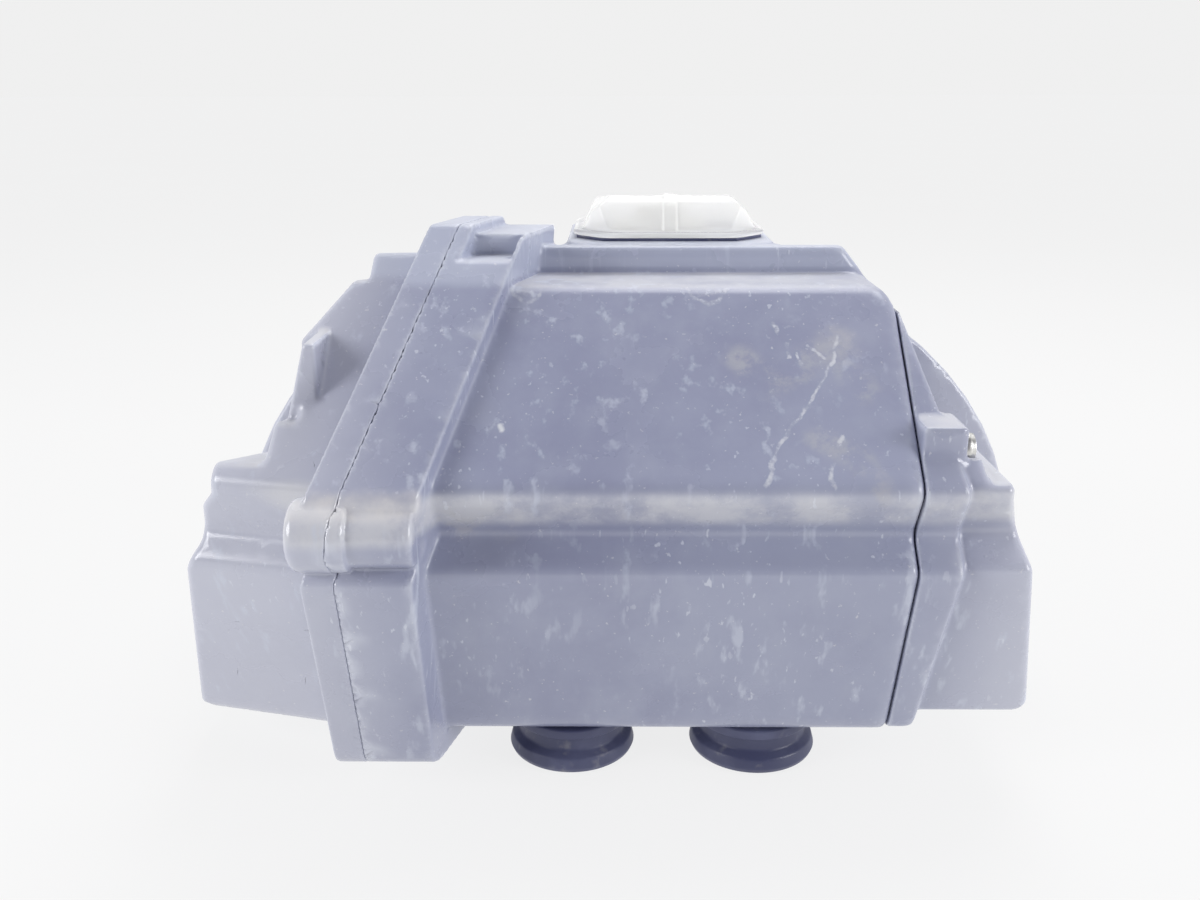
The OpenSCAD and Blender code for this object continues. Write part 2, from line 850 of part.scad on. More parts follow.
module base_screws() {
    color(steel_colour) for (p = base_places) {
        z_rod(floor_z - 9, inner_floor, p, base_screw_r - 0.05);
        difference() {
            z_rod(inner_floor, inner_floor + 4, p, 4);
            translate([0, 0, inner_floor + 2]) translate(p)
                cylinder(h = 3, r = 2.3, $fn = 6);
        }
    }
}

module output_bushing() {
    color("goldenrod") difference() {
        union() {
            z_rod(0.6, hub_top, [0, 0], bushing_r);
            z_rod(hub_top, hub_top + 2, [0, 0], hub_r);
        }
        z_rod(0, hub_top + 3, [0, 0], shaft_low_r + running);
    }
}

module drive_shaft() {
    color(steel_colour) difference() {
        union() {
            z_rod(0.6, mid_z, [0, 0], shaft_low_r);
            z_rod(mid_z - 1, top_step_z, [0, 0], shaft_mid_r);
            z_rod(top_step_z - 1, tip_z, [0, 0], shaft_top_r);
            z_rod(tip_z - 1, tip_top, [0, 0], shaft_tip_r);
        }
        translate([-socket_square / 2, -socket_square / 2, 0])
            cube([socket_square, socket_square, socket_depth + 0.6]);
        translate([shaft_mid_r - 3, -2, level_c]) cube([4, 4, face_c]);
        difference() {
            z_rod(level_c + face_c, level_c + face_c + 1.2, [0, 0], shaft_mid_r + 1);
            z_rod(level_c + face_c - 1, level_c + face_c + 3, [0, 0], shaft_mid_r - 1);
        }
    }
}

module shaft_seal() {
    color(rubber_colour) difference() {
        z_rod(top_z - wall, top_z, [0, 0], seal_r);
        z_rod(top_z - wall - 1, top_z + 1, [0, 0], shaft_tip_r + running);
    }
}

module upper_bushing() {
    color("goldenrod") difference() {
        union() {
            z_rod(upper_plate_z, upper_plate_z + plate_t, [0, 0], 11);
            z_rod(upper_plate_z - 1.5, upper_plate_z, [0, 0], 14);
        }
        z_rod(upper_plate_z - 3, upper_plate_z + 5, [0, 0], shaft_top_r + running);
    }
}

module output_gear() {
    color("slategray") difference() {
        translate([0, 0, level_c])
            gear(output_module, output_teeth, face_c, 0, 2);
        z_rod(level_c - 1, level_c + face_c + 1, [0, 0], shaft_mid_r);
        translate([0, -2, level_c - 1]) cube([shaft_mid_r + 2, 4, face_c + 2]);
        for (a = [30:60:330])
            z_rod(level_c - 1, level_c + face_c + 1, polar(27, a), 8);
    }
}

module gear_key() {
    color(steel_colour) translate([shaft_mid_r - 3, -2, level_c])
        cube([5, 4, face_c]);
}

module retaining_ring() {
    color("dimgray") difference() {
        z_rod(level_c + face_c, level_c + face_c + 1.2, [0, 0], shaft_mid_r + 2.5);
        z_rod(level_c, level_c + face_c + 3, [0, 0], shaft_mid_r - 1);
        translate([-30, -4, level_c]) cube([25, 8, 20]);
    }
}

// ---- gear train and frame ----

module frame_outline() {
    offset(r = 6.5, $fn = 32) polygon(frame_places);
}

module lower_frame_plate() {
    color("lightsteelblue") difference() {
        translate([0, 0, lower_plate_z]) linear_extrude(plate_t) frame_outline();
        z_rod(lower_plate_z - 1, lower_plate_z + 5, [0, 0], shaft_low_r + 3);
        for (p = [second_at, first_at])
            z_rod(lower_plate_z - 1, lower_plate_z + 5, p, pin_r);
        for (p = frame_places)
            z_rod(lower_plate_z - 1, lower_plate_z + 5, p, frame_screw_r + 0.2);
    }
}

module upper_frame_plate() {
    color("lightsteelblue") difference() {
        translate([0, 0, upper_plate_z]) linear_extrude(plate_t) frame_outline();
        z_rod(upper_plate_z - 1, upper_plate_z + 5, [0, 0], 11);
        z_rod(upper_plate_z - 1, upper_plate_z + 5, motor_at, 8);
        z_rod(upper_plate_z - 1, upper_plate_z + 5, pot_at, 4);
        for (p = [second_at, first_at])
            z_rod(upper_plate_z - 1, upper_plate_z + 5, p, pin_r);
        for (p = concat(frame_places, motor_screw_places, bracket_places))
            z_rod(upper_plate_z - 1, upper_plate_z + 5, p, frame_screw_r + 0.2);
    }
}

module frame_posts() {
    color(steel_colour) for (p = frame_places) difference() {
        z_rod(lower_plate_z + plate_t, upper_plate_z, p, 4);
        z_rod(lower_plate_z, upper_plate_z + 1, p, frame_screw_r + 0.1);
    }
}

module frame_screws() {
    color(steel_colour) {
        for (p = frame_places) {
            z_rod(lower_plate_z - 10, upper_plate_z + plate_t, p, frame_screw_r - 0.05);
            z_rod(upper_plate_z + plate_t, upper_plate_z + plate_t + 3, p, 4);
        }
        for (p = bracket_places) {
            z_rod(upper_plate_z - 1, upper_plate_z + plate_t + 2, p,
                frame_screw_r - 0.05);
            z_rod(upper_plate_z + plate_t + 2, upper_plate_z + plate_t + 4, p, 3.5);
        }
    }
}

// An idler: a large gear and a pinion in one piece, turning on a fixed pin
module idler(at, big_m, big_z, big_face, small_m, small_z, small_face, big_angle,
    small_angle) {
    color("silver") translate([at[0], at[1], 0]) difference() {
        union() {
            translate([0, 0, big_z]) gear(big_m, idler_teeth, big_face, big_angle, 2);
            translate([0, 0, small_z])
                gear(small_m, pinion_teeth, small_face, small_angle, 4);
        }
        z_rod(small_z - 1, big_z + big_face + 1, [0, 0], pin_r + running);
        for (a = [0:72:288])
            z_rod(big_z - 1, big_z + big_face + 1,
                polar(big_m * idler_teeth * 0.33, a), big_m * 4);
    }
}

module second_idler_gear() {
    idler(second_at, middle_module, level_b, face_b, output_module, level_c,
        level_b - level_c, 0, second_angle);
}

module first_idler_gear() {
    idler(first_at, motor_module, level_a, face_a, middle_module, level_b,
        level_a - level_b, 0, first_angle);
}

module idler_pin(at) {
    color(steel_colour) z_rod(lower_plate_z, upper_plate_z + plate_t, at, pin_r);
}

module second_idler_pin() {
    idler_pin(second_at);
}

module first_idler_pin() {
    idler_pin(first_at);
}

// ---- motor ----

module motor_can() {
    low = upper_plate_z + plate_t;
    color("dimgray") difference() {
        z_rod(low, low + motor_h, motor_at, motor_r);
        z_rod(low + 2.5, low + motor_h + 1, motor_at, motor_r - 2);
        z_rod(low - 1, low + 5, motor_at, rotor_shaft_r + running);
        for (p = motor_screw_places) z_rod(low - 1, low + 2, p, frame_screw_r);
    }
}

module motor_end_cap() {
    low = upper_plate_z + plate_t + motor_h;
    color("black") difference() {
        z_rod(low, low + motor_cap_h, motor_at, motor_r);
        z_rod(low - 1, low + 2.5, motor_at, rotor_shaft_r + running);
    }
}

module motor_rotor() {
    low = upper_plate_z + plate_t;
    color(steel_colour) {
        z_rod(level_a - 1, low + motor_h + 2, motor_at, rotor_shaft_r);
        z_rod(low + 6, low + motor_h - 4, motor_at, motor_r - 6);
    }
}

module motor_pinion() {
    color("goldenrod") difference() {
        translate([motor_at[0], motor_at[1], level_a])
            gear(motor_module, pinion_teeth, face_a, motor_angle, 4);
        z_rod(level_a - 1, level_a + face_a + 1, motor_at, rotor_shaft_r);
    }
}

module motor_screws() {
    low = upper_plate_z;
    color(steel_colour) for (p = motor_screw_places) {
        z_rod(low, low + plate_t + 1.8, p, frame_screw_r - 0.05);
        z_rod(low - 1.8, low, p, 3.2);
    }
}

// ---- position feedback and switches ----

// A spiral cam: the radius grows evenly with the angle
module cam(z, grow_with) {
    color("orange") difference() {
        translate([0, 0, z]) linear_extrude(cam_t) polygon(
            [for (a = [-180:10:170]) polar(cam_base
                + cam_rise * spiral_share(-a, grow_with), a)]);
        z_rod(z - 1, z + cam_t + 1, [0, 0], shaft_top_r);
    }
}

// Share of the rise that faces the lever when the shaft stands at angle a
function spiral_share(a, grow_with) =
    let (t = a < -130 || a > 150 ? 0.5 : a < -20 ? -20 / 90 : min(a, 110) / 90)
    grow_with ? t : 1 - t;

module open_cam() {
    cam(open_cam_z, true);
}

module close_cam() {
    cam(close_cam_z, false);
}

module feedback_gear() {
    color("ivory") difference() {
        translate([0, 0, feedback_z])
            gear(feedback_module, feedback_teeth, feedback_t, 0, 2);
        z_rod(feedback_z - 1, feedback_z + feedback_t + 1, [0, 0], shaft_top_r);
    }
}

module potentiometer() {
    color("steelblue") difference() {
        union() {
            z_rod(upper_plate_z - 12, upper_plate_z, pot_at, 8);
            z_rod(upper_plate_z - 1, upper_plate_z + plate_t + 1, pot_at, 4);
        }
        z_rod(upper_plate_z - 8, upper_plate_z + plate_t + 3, pot_at, 2 + running);
    }
}

module potentiometer_gear() {
    color("ivory") union() {
        translate([pot_at[0], pot_at[1], feedback_z])
            gear(feedback_module, pot_teeth, feedback_t, pot_angle, 3);
        z_rod(upper_plate_z - 6, feedback_z + 1, pot_at, 2);
    }
}

module switch_bracket() {
    low = upper_plate_z + plate_t;
    color("lightgray") difference() {
        union() {
            translate([36, -18, low]) cube([16, 36, 2]);
            translate([36, -18, low]) cube([2, 36, 34]);
        }
        for (p = bracket_places) z_rod(low - 1, low + 3, p, frame_screw_r + 0.2);
    }
}

module limit_switch(z) {
    color([0.15, 0.15, 0.15]) difference() {
        union() {
            translate([21.5, -13, z - 2]) cube([14.5, 28, 10.3]);
            for (y = [-9, 0, 9]) translate([22.5, y, z + 8]) cube([6, 0.8, 3]);
        }
        z_rod(z - 3, z + 9, [25, 11], 1.5);
        z_rod(z - 3, z + 9, [32, -9], 1.5);
    }
}

module open_limit_switch() {
    limit_switch(open_cam_z);
}

module close_limit_switch() {
    limit_switch(close_cam_z);
}

// A switch lever with its roller; push is how far the cam has moved it
module switch_lever(z, push) {
    x = cam_base + push + roller_gap + roller_r;
    color("silver") {
        z_rod(z + 1, z + 5, [x, 0], roller_r);
        z_rod(z, z + 6, lever_pivot, 1.2);
        hull() {
            z_rod(z + 2, z + 4, [x, 0], 0.8);
            z_rod(z + 2, z + 4, lever_pivot, 0.8);
        }
    }
}

module open_switch_lever() {
    switch_lever(open_cam_z, 0);
}

module close_switch_lever() {
    switch_lever(close_cam_z, cam_rise);
}

// ---- wiring ----

module circuit_board() {
    color("darkgreen") difference() {
        translate([board_x, board_y[0], board_z[0]]) cube([board_t,
            board_y[1] - board_y[0], board_z[1] - board_z[0]]);
        for (y = board_post_y, z = board_post_z)
            x_rod(board_x - 1, board_x + 3, y, z, 1.5);
    }
}

module terminal_block() {
    pitch = (block_y[1] - block_y[0]) / terminal_count;
    color("seagreen") difference() {
        translate([board_x - 12, block_y[0], block_z[0]]) cube([12,
            block_y[1] - block_y[0], block_z[1] - block_z[0]]);
        for (i = [0:terminal_count - 1]) {
            y = block_y[0] + pitch * (i + 0.5);
            x_rod(board_x - 13, board_x - 5, y, block_z[1] - 4, 2);
            translate([board_x - 13, y - 1.8, block_z[0] + 2]) cube([8, 3.6, 4]);
        }
    }
}

module terminal_screws() {
    pitch = (block_y[1] - block_y[0]) / terminal_count;
    color(steel_colour) for (i = [0:terminal_count - 1])
        x_rod(board_x - 9, board_x - 5, block_y[0] + pitch * (i + 0.5),
            block_z[1] - 4, 1.95);
}

module motor_capacitor() {
    color("gainsboro") union() {
        y_rod(-8, 44, -104, 40, 15);
        y_rod(44, 48, -104, 40, 4);
    }
}

module capacitor_clip() {
    color("dimgray") difference() {
        translate([-122, 10, inner_floor]) cube([36, 12, 26]);
        y_rod(9, 23, -104, 40, 15.05);
        translate([-116, 9, 40]) cube([24, 14, 20]);
    }
}

module transformer() {
    color("peru") union() {
        translate([74, -8, inner_floor + 3]) cube([30, 42, 36]);
        translate([70, -4, inner_floor]) cube([38, 34, 3]);
        translate([79, -12, inner_floor + 8]) cube([20, 50, 26]);
    }
}

module anti_condensation_heater() {
    color("tan") union() {
        x_rod(-40, 16, 49, 28, 4);
        for (x = [-34, 8]) translate([x, 46, inner_floor]) cube([4, 5, 6]);
    }
}

body();
left_cover();
right_cover();
rear_cover();
left_gasket();
right_gasket();
rear_gasket();
left_cover_screws();
right_cover_screws();
rear_cover_screws();
indicator_dome();
dome_seal();
indicator_dial();
position_indicator();
left_cable_collar();
right_cable_collar();
base_plate();
base_seal();
base_screws();
drive_shaft();
shaft_seal();
output_bushing();
upper_bushing();
output_gear();
gear_key();
retaining_ring();
lower_frame_plate();
upper_frame_plate();
frame_posts();
frame_screws();
second_idler_gear();
second_idler_pin();
first_idler_gear();
first_idler_pin();
motor_can();
motor_end_cap();
motor_rotor();
motor_pinion();
motor_screws();
open_cam();
close_cam();
feedback_gear();
potentiometer();
potentiometer_gear();
switch_bracket();
open_limit_switch();
close_limit_switch();
open_switch_lever();
close_switch_lever();
circuit_board();
terminal_block();
terminal_screws();
motor_capacitor();
capacitor_clip();
transformer();
anti_condensation_heater();
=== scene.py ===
"""The visual model of the motorized valve actuator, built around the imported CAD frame.

The outer mouldings are made from distance fields: each is a sum of simple rounded shapes
in millimetres, turned into a mesh at the end. The pieces inside keep their CAD shapes, with
softened edges and finished materials.
"""
import json
import math

import bpy
import numpy as np
import openvdb
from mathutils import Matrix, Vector


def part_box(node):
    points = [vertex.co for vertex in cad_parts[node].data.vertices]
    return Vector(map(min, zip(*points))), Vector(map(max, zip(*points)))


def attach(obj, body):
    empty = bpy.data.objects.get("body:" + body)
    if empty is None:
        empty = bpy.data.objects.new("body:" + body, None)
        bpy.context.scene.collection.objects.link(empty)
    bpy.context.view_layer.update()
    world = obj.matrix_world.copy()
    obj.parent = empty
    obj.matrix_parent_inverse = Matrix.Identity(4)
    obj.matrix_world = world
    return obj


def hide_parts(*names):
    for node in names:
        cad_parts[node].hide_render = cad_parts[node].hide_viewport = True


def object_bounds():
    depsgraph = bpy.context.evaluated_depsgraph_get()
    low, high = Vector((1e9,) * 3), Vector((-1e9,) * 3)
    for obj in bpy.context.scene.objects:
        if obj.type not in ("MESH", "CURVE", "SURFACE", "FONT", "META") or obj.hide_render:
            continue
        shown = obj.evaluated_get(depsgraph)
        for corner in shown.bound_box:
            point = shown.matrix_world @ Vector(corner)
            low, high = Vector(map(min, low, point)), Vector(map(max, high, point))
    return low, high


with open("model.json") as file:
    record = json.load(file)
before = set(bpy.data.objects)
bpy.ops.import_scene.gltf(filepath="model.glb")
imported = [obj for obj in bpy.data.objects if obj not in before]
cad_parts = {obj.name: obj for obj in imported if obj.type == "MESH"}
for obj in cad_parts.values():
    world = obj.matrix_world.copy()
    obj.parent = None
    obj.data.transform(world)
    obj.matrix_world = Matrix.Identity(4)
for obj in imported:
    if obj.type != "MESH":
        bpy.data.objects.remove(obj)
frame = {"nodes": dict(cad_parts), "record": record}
cad_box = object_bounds()

MM = 0.001


def box_mm(node):
    low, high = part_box(node)
    return [v / MM for v in low], [v / MM for v in high]


def new_piece(name, verts, faces):
    """A new object in the scene; its corners are in metres."""
    data = bpy.data.meshes.new(name)
    data.from_pydata(verts, [], faces)
    data.update()
    piece = bpy.data.objects.new(name, data)
    bpy.context.scene.collection.objects.link(piece)
    return piece


# ---- driving sizes, in millimetres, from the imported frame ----

BODY_LOW, BODY_HIGH = box_mm("body")
LEFT_LOW, LEFT_HIGH = box_mm("left_cover")
RIGHT_LOW, RIGHT_HIGH = box_mm("right_cover")
REAR_LOW, REAR_HIGH = box_mm("rear_cover")
DOME_LOW, DOME_HIGH = box_mm("indicator_dome")
COLLAR_LOW, COLLAR_HIGH = box_mm("right_cable_collar")

FLANGE_RISE = 8
FLOOR = BODY_LOW[2] + FLANGE_RISE
TOP = BODY_HIGH[2] - FLANGE_RISE
SHOULDER = TOP - 8
SEAM = RIGHT_LOW[0] - 0.25
BACK = BODY_HIGH[1]
WALL = 3
NOSE = 115
NOSE_Z = FLOOR + 62
GROOVE = 9
GROOVE_Z = NOSE_Z + 8
LIP_Z = NOSE_Z + 22.5
CHIN = 22
SLOPE = 55 / 47.5
PLATEAU_Y = -37
BULKHEAD = -20
COVER_BACK = BULKHEAD - 2
CENTRAL_BACK = 42
GASKET = 1
RIM = 2                  # width of the cover's rim that closes over a gasket
SEAT_R, SEAT_DEPTH = 5.4, 2.6
HUB_R, SEAL_R, COLLAR_NECK_R, COLLAR_BORE_R = 25.2, 10, 16, 14.5
FLANGE_LEFT, FLANGE_JOINT, FLANGE_RIGHT = -97, -88, -67
YAW, LEAN = 0.27, 0.09
PLANE_NORM = math.sqrt(1 + YAW * YAW + LEAN * LEAN)
COVER_YAW = math.radians(14)
ARCH_A, ARCH_B = (REAR_HIGH[0] - REAR_LOW[0]) / 2, 104
ARCH_X, ARCH_Z = (REAR_HIGH[0] + REAR_LOW[0]) / 2, 50
ARCH_TOP = REAR_HIGH[2]
ROOF_Y, ROOF_FALL = PLATEAU_Y + 4, 0.16
PAD_EDGE = 5
LIP_GAP = 0.1            # the seam on the right shows as a dark line
LIP_LAP = 0.2            # the left flange's halves meet in a fine V
BOSS_Y, BOSS_Z, BOSS_R = -3 - NOSE, NOSE_Z + 12.5, 10
BOSS_STEP, BOSS_LENGTH, BOSS_CAP = 2.5, 20, 13.5
POCKET = {"low": TOP - 1.4, "back": -49, "left": -83.2, "right": -68.3, "top": TOP + 5}
RIGHT_DEPTH, RIGHT_LOW_DEPTH = 12, 7.5
DOME_FALL = 4
RIGHT_BOSS_Y, RIGHT_BOSS_Z, RIGHT_BOSS_LENGTH = -98, NOSE_Z + 30.5, 12.5
LEDGE_FALL = 0.25
COLLAR_X = (COLLAR_LOW[0] + COLLAR_HIGH[0]) / 2
COLLAR_Y = (COLLAR_LOW[1] + COLLAR_HIGH[1]) / 2
DOME_X = (DOME_LOW[0] + DOME_HIGH[0]) / 2
DOME_W = (DOME_HIGH[0] - DOME_LOW[0]) / 2 - 3
DOME_D = (DOME_HIGH[1] - DOME_LOW[1]) / 2 - 3
POST_INSET = 7
REAR_SCREWS = [(ARCH_X + (ARCH_A - POST_INSET) * math.cos(math.radians(a)),
                min(ARCH_Z + (ARCH_B - POST_INSET) * math.sin(math.radians(a)),
                    ARCH_TOP - POST_INSET))
               for a in range(22, 159, 34)]
REAR_SCREWS += [(x, FLOOR + POST_INSET) for x in (-130, -50, 26, 106)]


def flange_x(x0, y, z):
    """Where an oblique flange plane that starts at x0 stands, at a given depth and height."""
    return x0 + YAW * (y + NOSE) + LEAN * (z - NOSE_Z)


# ---- distance fields ----

class Space:
    """A grid of points between two corners, and the meshes made on it."""

    def __init__(self, low, high, step):
        self.low, self.step = np.array(low, float), step
        sizes = [int((b - a) / step) + 2 for a, b in zip(low, high)]
        axes = [self.low[i] + step * np.arange(n, dtype=np.float32)
                for i, n in enumerate(sizes)]
        self.x = axes[0][:, None, None].astype(np.float32)
        self.y = axes[1][None, :, None].astype(np.float32)
        self.z = axes[2][None, None, :].astype(np.float32)
        self.shape = sizes

    def mesh(self, field, name, adaptivity=0.0):
        """The surface where the field is zero, as a new object in metres."""
        full = np.array(np.broadcast_to(field, self.shape), dtype=np.float32)
        grid = openvdb.FloatGrid(background=10.0)
        grid.copyFromArray(full)
        points, triangles, quads = grid.convertToPolygons(
            isovalue=0.0, adaptivity=adaptivity)
        normals = self.normals(full, points)
        verts = (points * self.step + self.low) * MM
        faces = triangles.tolist() + quads.tolist()
        piece = new_piece(name, verts.tolist(), faces)
        piece.data.shade_smooth()
        piece.data.normals_split_custom_set_from_vertices(normals.tolist())
        return piece

    def normals(self, field, points):
        """The direction in which the field grows, at each mesh point."""
        def at(p):
            p = np.clip(p, 0, np.array(field.shape) - 1.001)
            i = p.astype(int)
            f = p - i
            total = 0
            for corner in np.ndindex(2, 2, 2):
                weight = np.prod([f[:, k] if corner[k] else 1 - f[:, k]
                                  for k in range(3)], axis=0)
                total = total + weight * field[i[:, 0] + corner[0], i[:, 1] + corner[1],
                                               i[:, 2] + corner[2]]
            return total
        reach = 0.6
        grow = np.stack([at(points + step) - at(points - step)
                         for step in np.eye(3) * reach], axis=1)
        return grow / np.maximum(np.linalg.norm(grow, axis=1, keepdims=True), 1e-9)


def joined(a, b, r):
    """Both shapes together, with a fillet of radius r where they meet."""
    return -cut(-a, -b, r)


def cut(a, b, r):
    """What lies inside both shapes, with the edge between them rounded to radius r."""
    if r <= 0:
        return np.maximum(a, b)
    return np.minimum(np.maximum(a, b), -r) + np.hypot(
        np.maximum(a + r, 0), np.maximum(b + r, 0))


def outline(corners, u, v):
    """Signed distance to a closed outline. A corner is (u, v) or (u, v, radius)."""
    points = rounded(corners)
    best = None
    inside = None
    for (au, av), (bu, bv) in zip(points, points[1:] + points[:1]):
        eu, ev = bu - au, bv - av
        wu, wv = u - au, v - av
        along = np.clip((wu * eu + wv * ev) / (eu * eu + ev * ev), 0, 1)
        gap = (wu - eu * along) ** 2 + (wv - ev * along) ** 2
        best = gap if best is None else np.minimum(best, gap)
        crosses = ((av <= v) != (bv <= v)) & ((wu * ev < eu * wv) == (ev < 0))
        inside = crosses if inside is None else inside ^ crosses
    return np.where(inside, -1, 1).astype(np.float32) * np.sqrt(best).astype(np.float32)


def rounded(corners, steps=5):
    """An outline's points, with each corner that has a radius turned into an arc."""
    out = []
    count = len(corners)
    for i, corner in enumerate(corners):
        here = Vector(corner[:2])
        radius = corner[2] if len(corner) > 2 else 0
        if not radius:
            out.append((here.x, here.y))
            continue
        before = (Vector(corners[i - 1][:2]) - here).normalized()
        after = (Vector(corners[(i + 1) % count][:2]) - here).normalized()
        half = before.angle(after) / 2
        run = radius / math.tan(half)
        centre = here + (before + after).normalized() * (radius / math.sin(half))
        start, end = here + before * run - centre, here + after * run - centre
        first = math.atan2(start.y, start.x)
        turn = (math.atan2(end.y, end.x) - first + math.pi) % math.tau - math.pi
        for k in range(steps + 1):
            angle = first + turn * k / steps
            out.append((centre.x + radius * math.cos(angle),
                        centre.y + radius * math.sin(angle)))
    return out


def rod(a, b, radius, edge, along, low, high):
    """A round bar between two heights of one coordinate, with rounded ends."""
    return cut(np.hypot(a, b) - radius, np.maximum(low - along, along - high), edge)


def nose_outline(front, groove, top, back, grow=0.0):
    """The housing's front in (y, z): chin, nose, groove and sloped panel."""
    g = grow
    rise = top - LIP_Z
    return [(-(front - CHIN) - g * 0.9, FLOOR - g, 9), (-front - g, NOSE_Z, 4),
            (-(front - groove) - g, GROOVE_Z, 3), (-front - g, LIP_Z, 5),
            (-front - g + SLOPE * (rise + g), top + g, 4), (back, top + g, 2),
            (back, FLOOR - g, 2)]


def flange_plane(space, x0):
    """Distance to the right of an oblique flange plane."""
    return (space.x - flange_x(x0, space.y, space.z)) / PLANE_NORM


# ---- housing shapes ----

def arch_field(space, inset):
    steps = 30
    corners = []
    for k in range(steps + 1):
        across = ARCH_X + ARCH_A * math.cos(math.pi * k / steps)
        up = ARCH_Z + ARCH_B * math.sin(math.pi * k / steps)
        corners.append((across, min(up, ARCH_TOP)))
    corners += [(ARCH_X - ARCH_A, FLOOR, 6), (ARCH_X + ARCH_A, FLOOR, 6)]
    return outline(corners, space.x, space.z) + inset


def ring_outline(rise):
    """The left flange's outline in (y, z), cut off behind."""
    front = nose_outline(NOSE, GROOVE, TOP, COVER_BACK, rise)[:-2]
    return front + [(COVER_BACK, TOP + rise, 3), (COVER_BACK, FLOOR - rise, 3)]


def ring_field(space, rise):
    return outline(ring_outline(rise), space.y, space.z)


def front_field(space):
    """The housing's front: nose outline along X, with a rounded top right corner."""
    front = outline(nose_outline(NOSE, GROOVE, SHOULDER, CENTRAL_BACK), space.y, space.z)
    corner = outline([(-200, -50), (SEAM, -50), (SEAM, SHOULDER, 9), (-200, SHOULDER)],
                     space.x, space.z)
    return cut(front, corner, 2.5)


def under_roof(space, drop):
    """Below the top face, which falls away to the rear."""
    fall = space.z - (TOP - drop) + ROOF_FALL * (space.y - ROOF_Y)
    return cut(space.z - (TOP - drop), fall / math.hypot(1, ROOF_FALL), 2)


def dome_pad(space, inset):
    across = np.abs(space.x - DOME_X) - DOME_W - PAD_EDGE + inset
    deep = np.abs(space.y) - DOME_D - PAD_EDGE + inset
    return cut(cut(across, deep, 6), np.maximum(space.z - TOP + inset, TOP - 20 - space.z), 1)


def hollow(space, reach):
    """The housing's inside, one wall thickness in from its outer faces."""
    x, y, z = space.x, space.y, space.z
    joint = flange_plane(space, FLANGE_JOINT)
    middle = np.maximum(front_field(space) + WALL, -joint - reach)
    middle = np.maximum(middle, np.where(y > COVER_BACK - 12, x - SEAM + WALL, -1e3))
    middle = np.maximum(middle, np.where(y > COVER_BACK, -62 - x, -1e3))
    bay = np.maximum(np.maximum(arch_field(space, WALL), BULKHEAD + WALL - y), y - BACK - 5)
    raised = np.maximum(np.maximum(np.abs(x) - 58, z - TOP + WALL),
                        np.maximum(PLATEAU_Y + WALL - y, y - CENTRAL_BACK + WALL))
    raised = np.maximum(raised, SHOULDER - 10 - z)
    raised = np.maximum(raised, -flange_plane(space, FLANGE_RIGHT - 6))
    inside = np.minimum(np.minimum(middle, bay), raised)
    return np.minimum(np.maximum(inside, under_roof(space, WALL)), dome_pad(space, WALL))


def make_body():
    space = Space([v - 2 for v in BODY_LOW], [v + 2 for v in BODY_HIGH], 0.9)
    x, y, z = space.x, space.y, space.z
    joint = flange_plane(space, FLANGE_JOINT)
    middle = np.maximum(front_field(space), np.where(y > COVER_BACK, -65 - x, -1e3))
    middle = cut(middle, -joint, 0.3)
    raised = outline([(-90, SHOULDER - 8), (-90, TOP), (56, TOP, 4), (62.5, SHOULDER, 2),
                      (62.5, SHOULDER - 8)], x, z)
    raised = cut(raised, np.maximum(PLATEAU_Y - y, y - CENTRAL_BACK), 3)
    raised = np.maximum(raised, -flange_plane(space, FLANGE_RIGHT - 4))
    outer = joined(middle, raised, 2.5)
    bay = cut(arch_field(space, 0), np.maximum(BULKHEAD - y, y - BACK), 1.5)
    outer = joined(outer, bay, 2.5)
    outer = np.maximum(outer, under_roof(space, 0))
    outer = joined(outer, dome_pad(space, 0), 1.5)
    ring = cut(ring_field(space, FLANGE_RISE), flange_plane(space, FLANGE_RIGHT), 1.0)
    ring = cut(ring, -joint, 0.45)
    beyond = -flange_plane(space, POCKET["left"])
    slot = np.maximum(np.maximum(beyond, flange_plane(space, POCKET["right"])),
                      np.maximum(POCKET["low"] - z, y - POCKET["back"]))
    ring = cut(ring, -slot, 0.8)
    ring = cut(ring, -np.maximum(beyond, POCKET["top"] - z), 0.8)
    outer = joined(outer, ring, 1.1)
    boss_x = flange_x(FLANGE_JOINT, BOSS_Y, BOSS_Z)
    wide = rod(y - BOSS_Y, z - BOSS_Z, BOSS_R, 0.4, x, boss_x - 4, boss_x + BOSS_STEP)
    narrow = rod(y - BOSS_Y, z - BOSS_Z, BOSS_R - 1.4, 1.6, x, boss_x - 4, boss_x + BOSS_LENGTH)
    outer = joined(joined(outer, narrow, 1.2), wide, 0.4)
    outer = np.maximum(outer, -hollow(space, 4))
    outer = np.maximum(outer, np.where(y < COVER_BACK, -joint, -1e3))
    outer = np.maximum(outer, y - BACK + 0.1)
    for hole_x, hole_y, radius, low, high in [
            (0, 0, HUB_R, FLOOR - 5, FLOOR + 5), (0, 0, SEAL_R, TOP - 5, TOP + 5),
            (COLLAR_X, COLLAR_Y, COLLAR_NECK_R, FLOOR - 5, FLOOR + 5),
            (-COLLAR_X, COLLAR_Y, COLLAR_NECK_R, FLOOR - 5, FLOOR + 5)]:
        hole = np.maximum(np.hypot(x - hole_x, y - hole_y) - radius,
                          np.maximum(low - z, z - high))
        outer = np.maximum(outer, -hole)
    return finished(space.mesh(outer, "body_moulding", 0.03), "housing", "body")


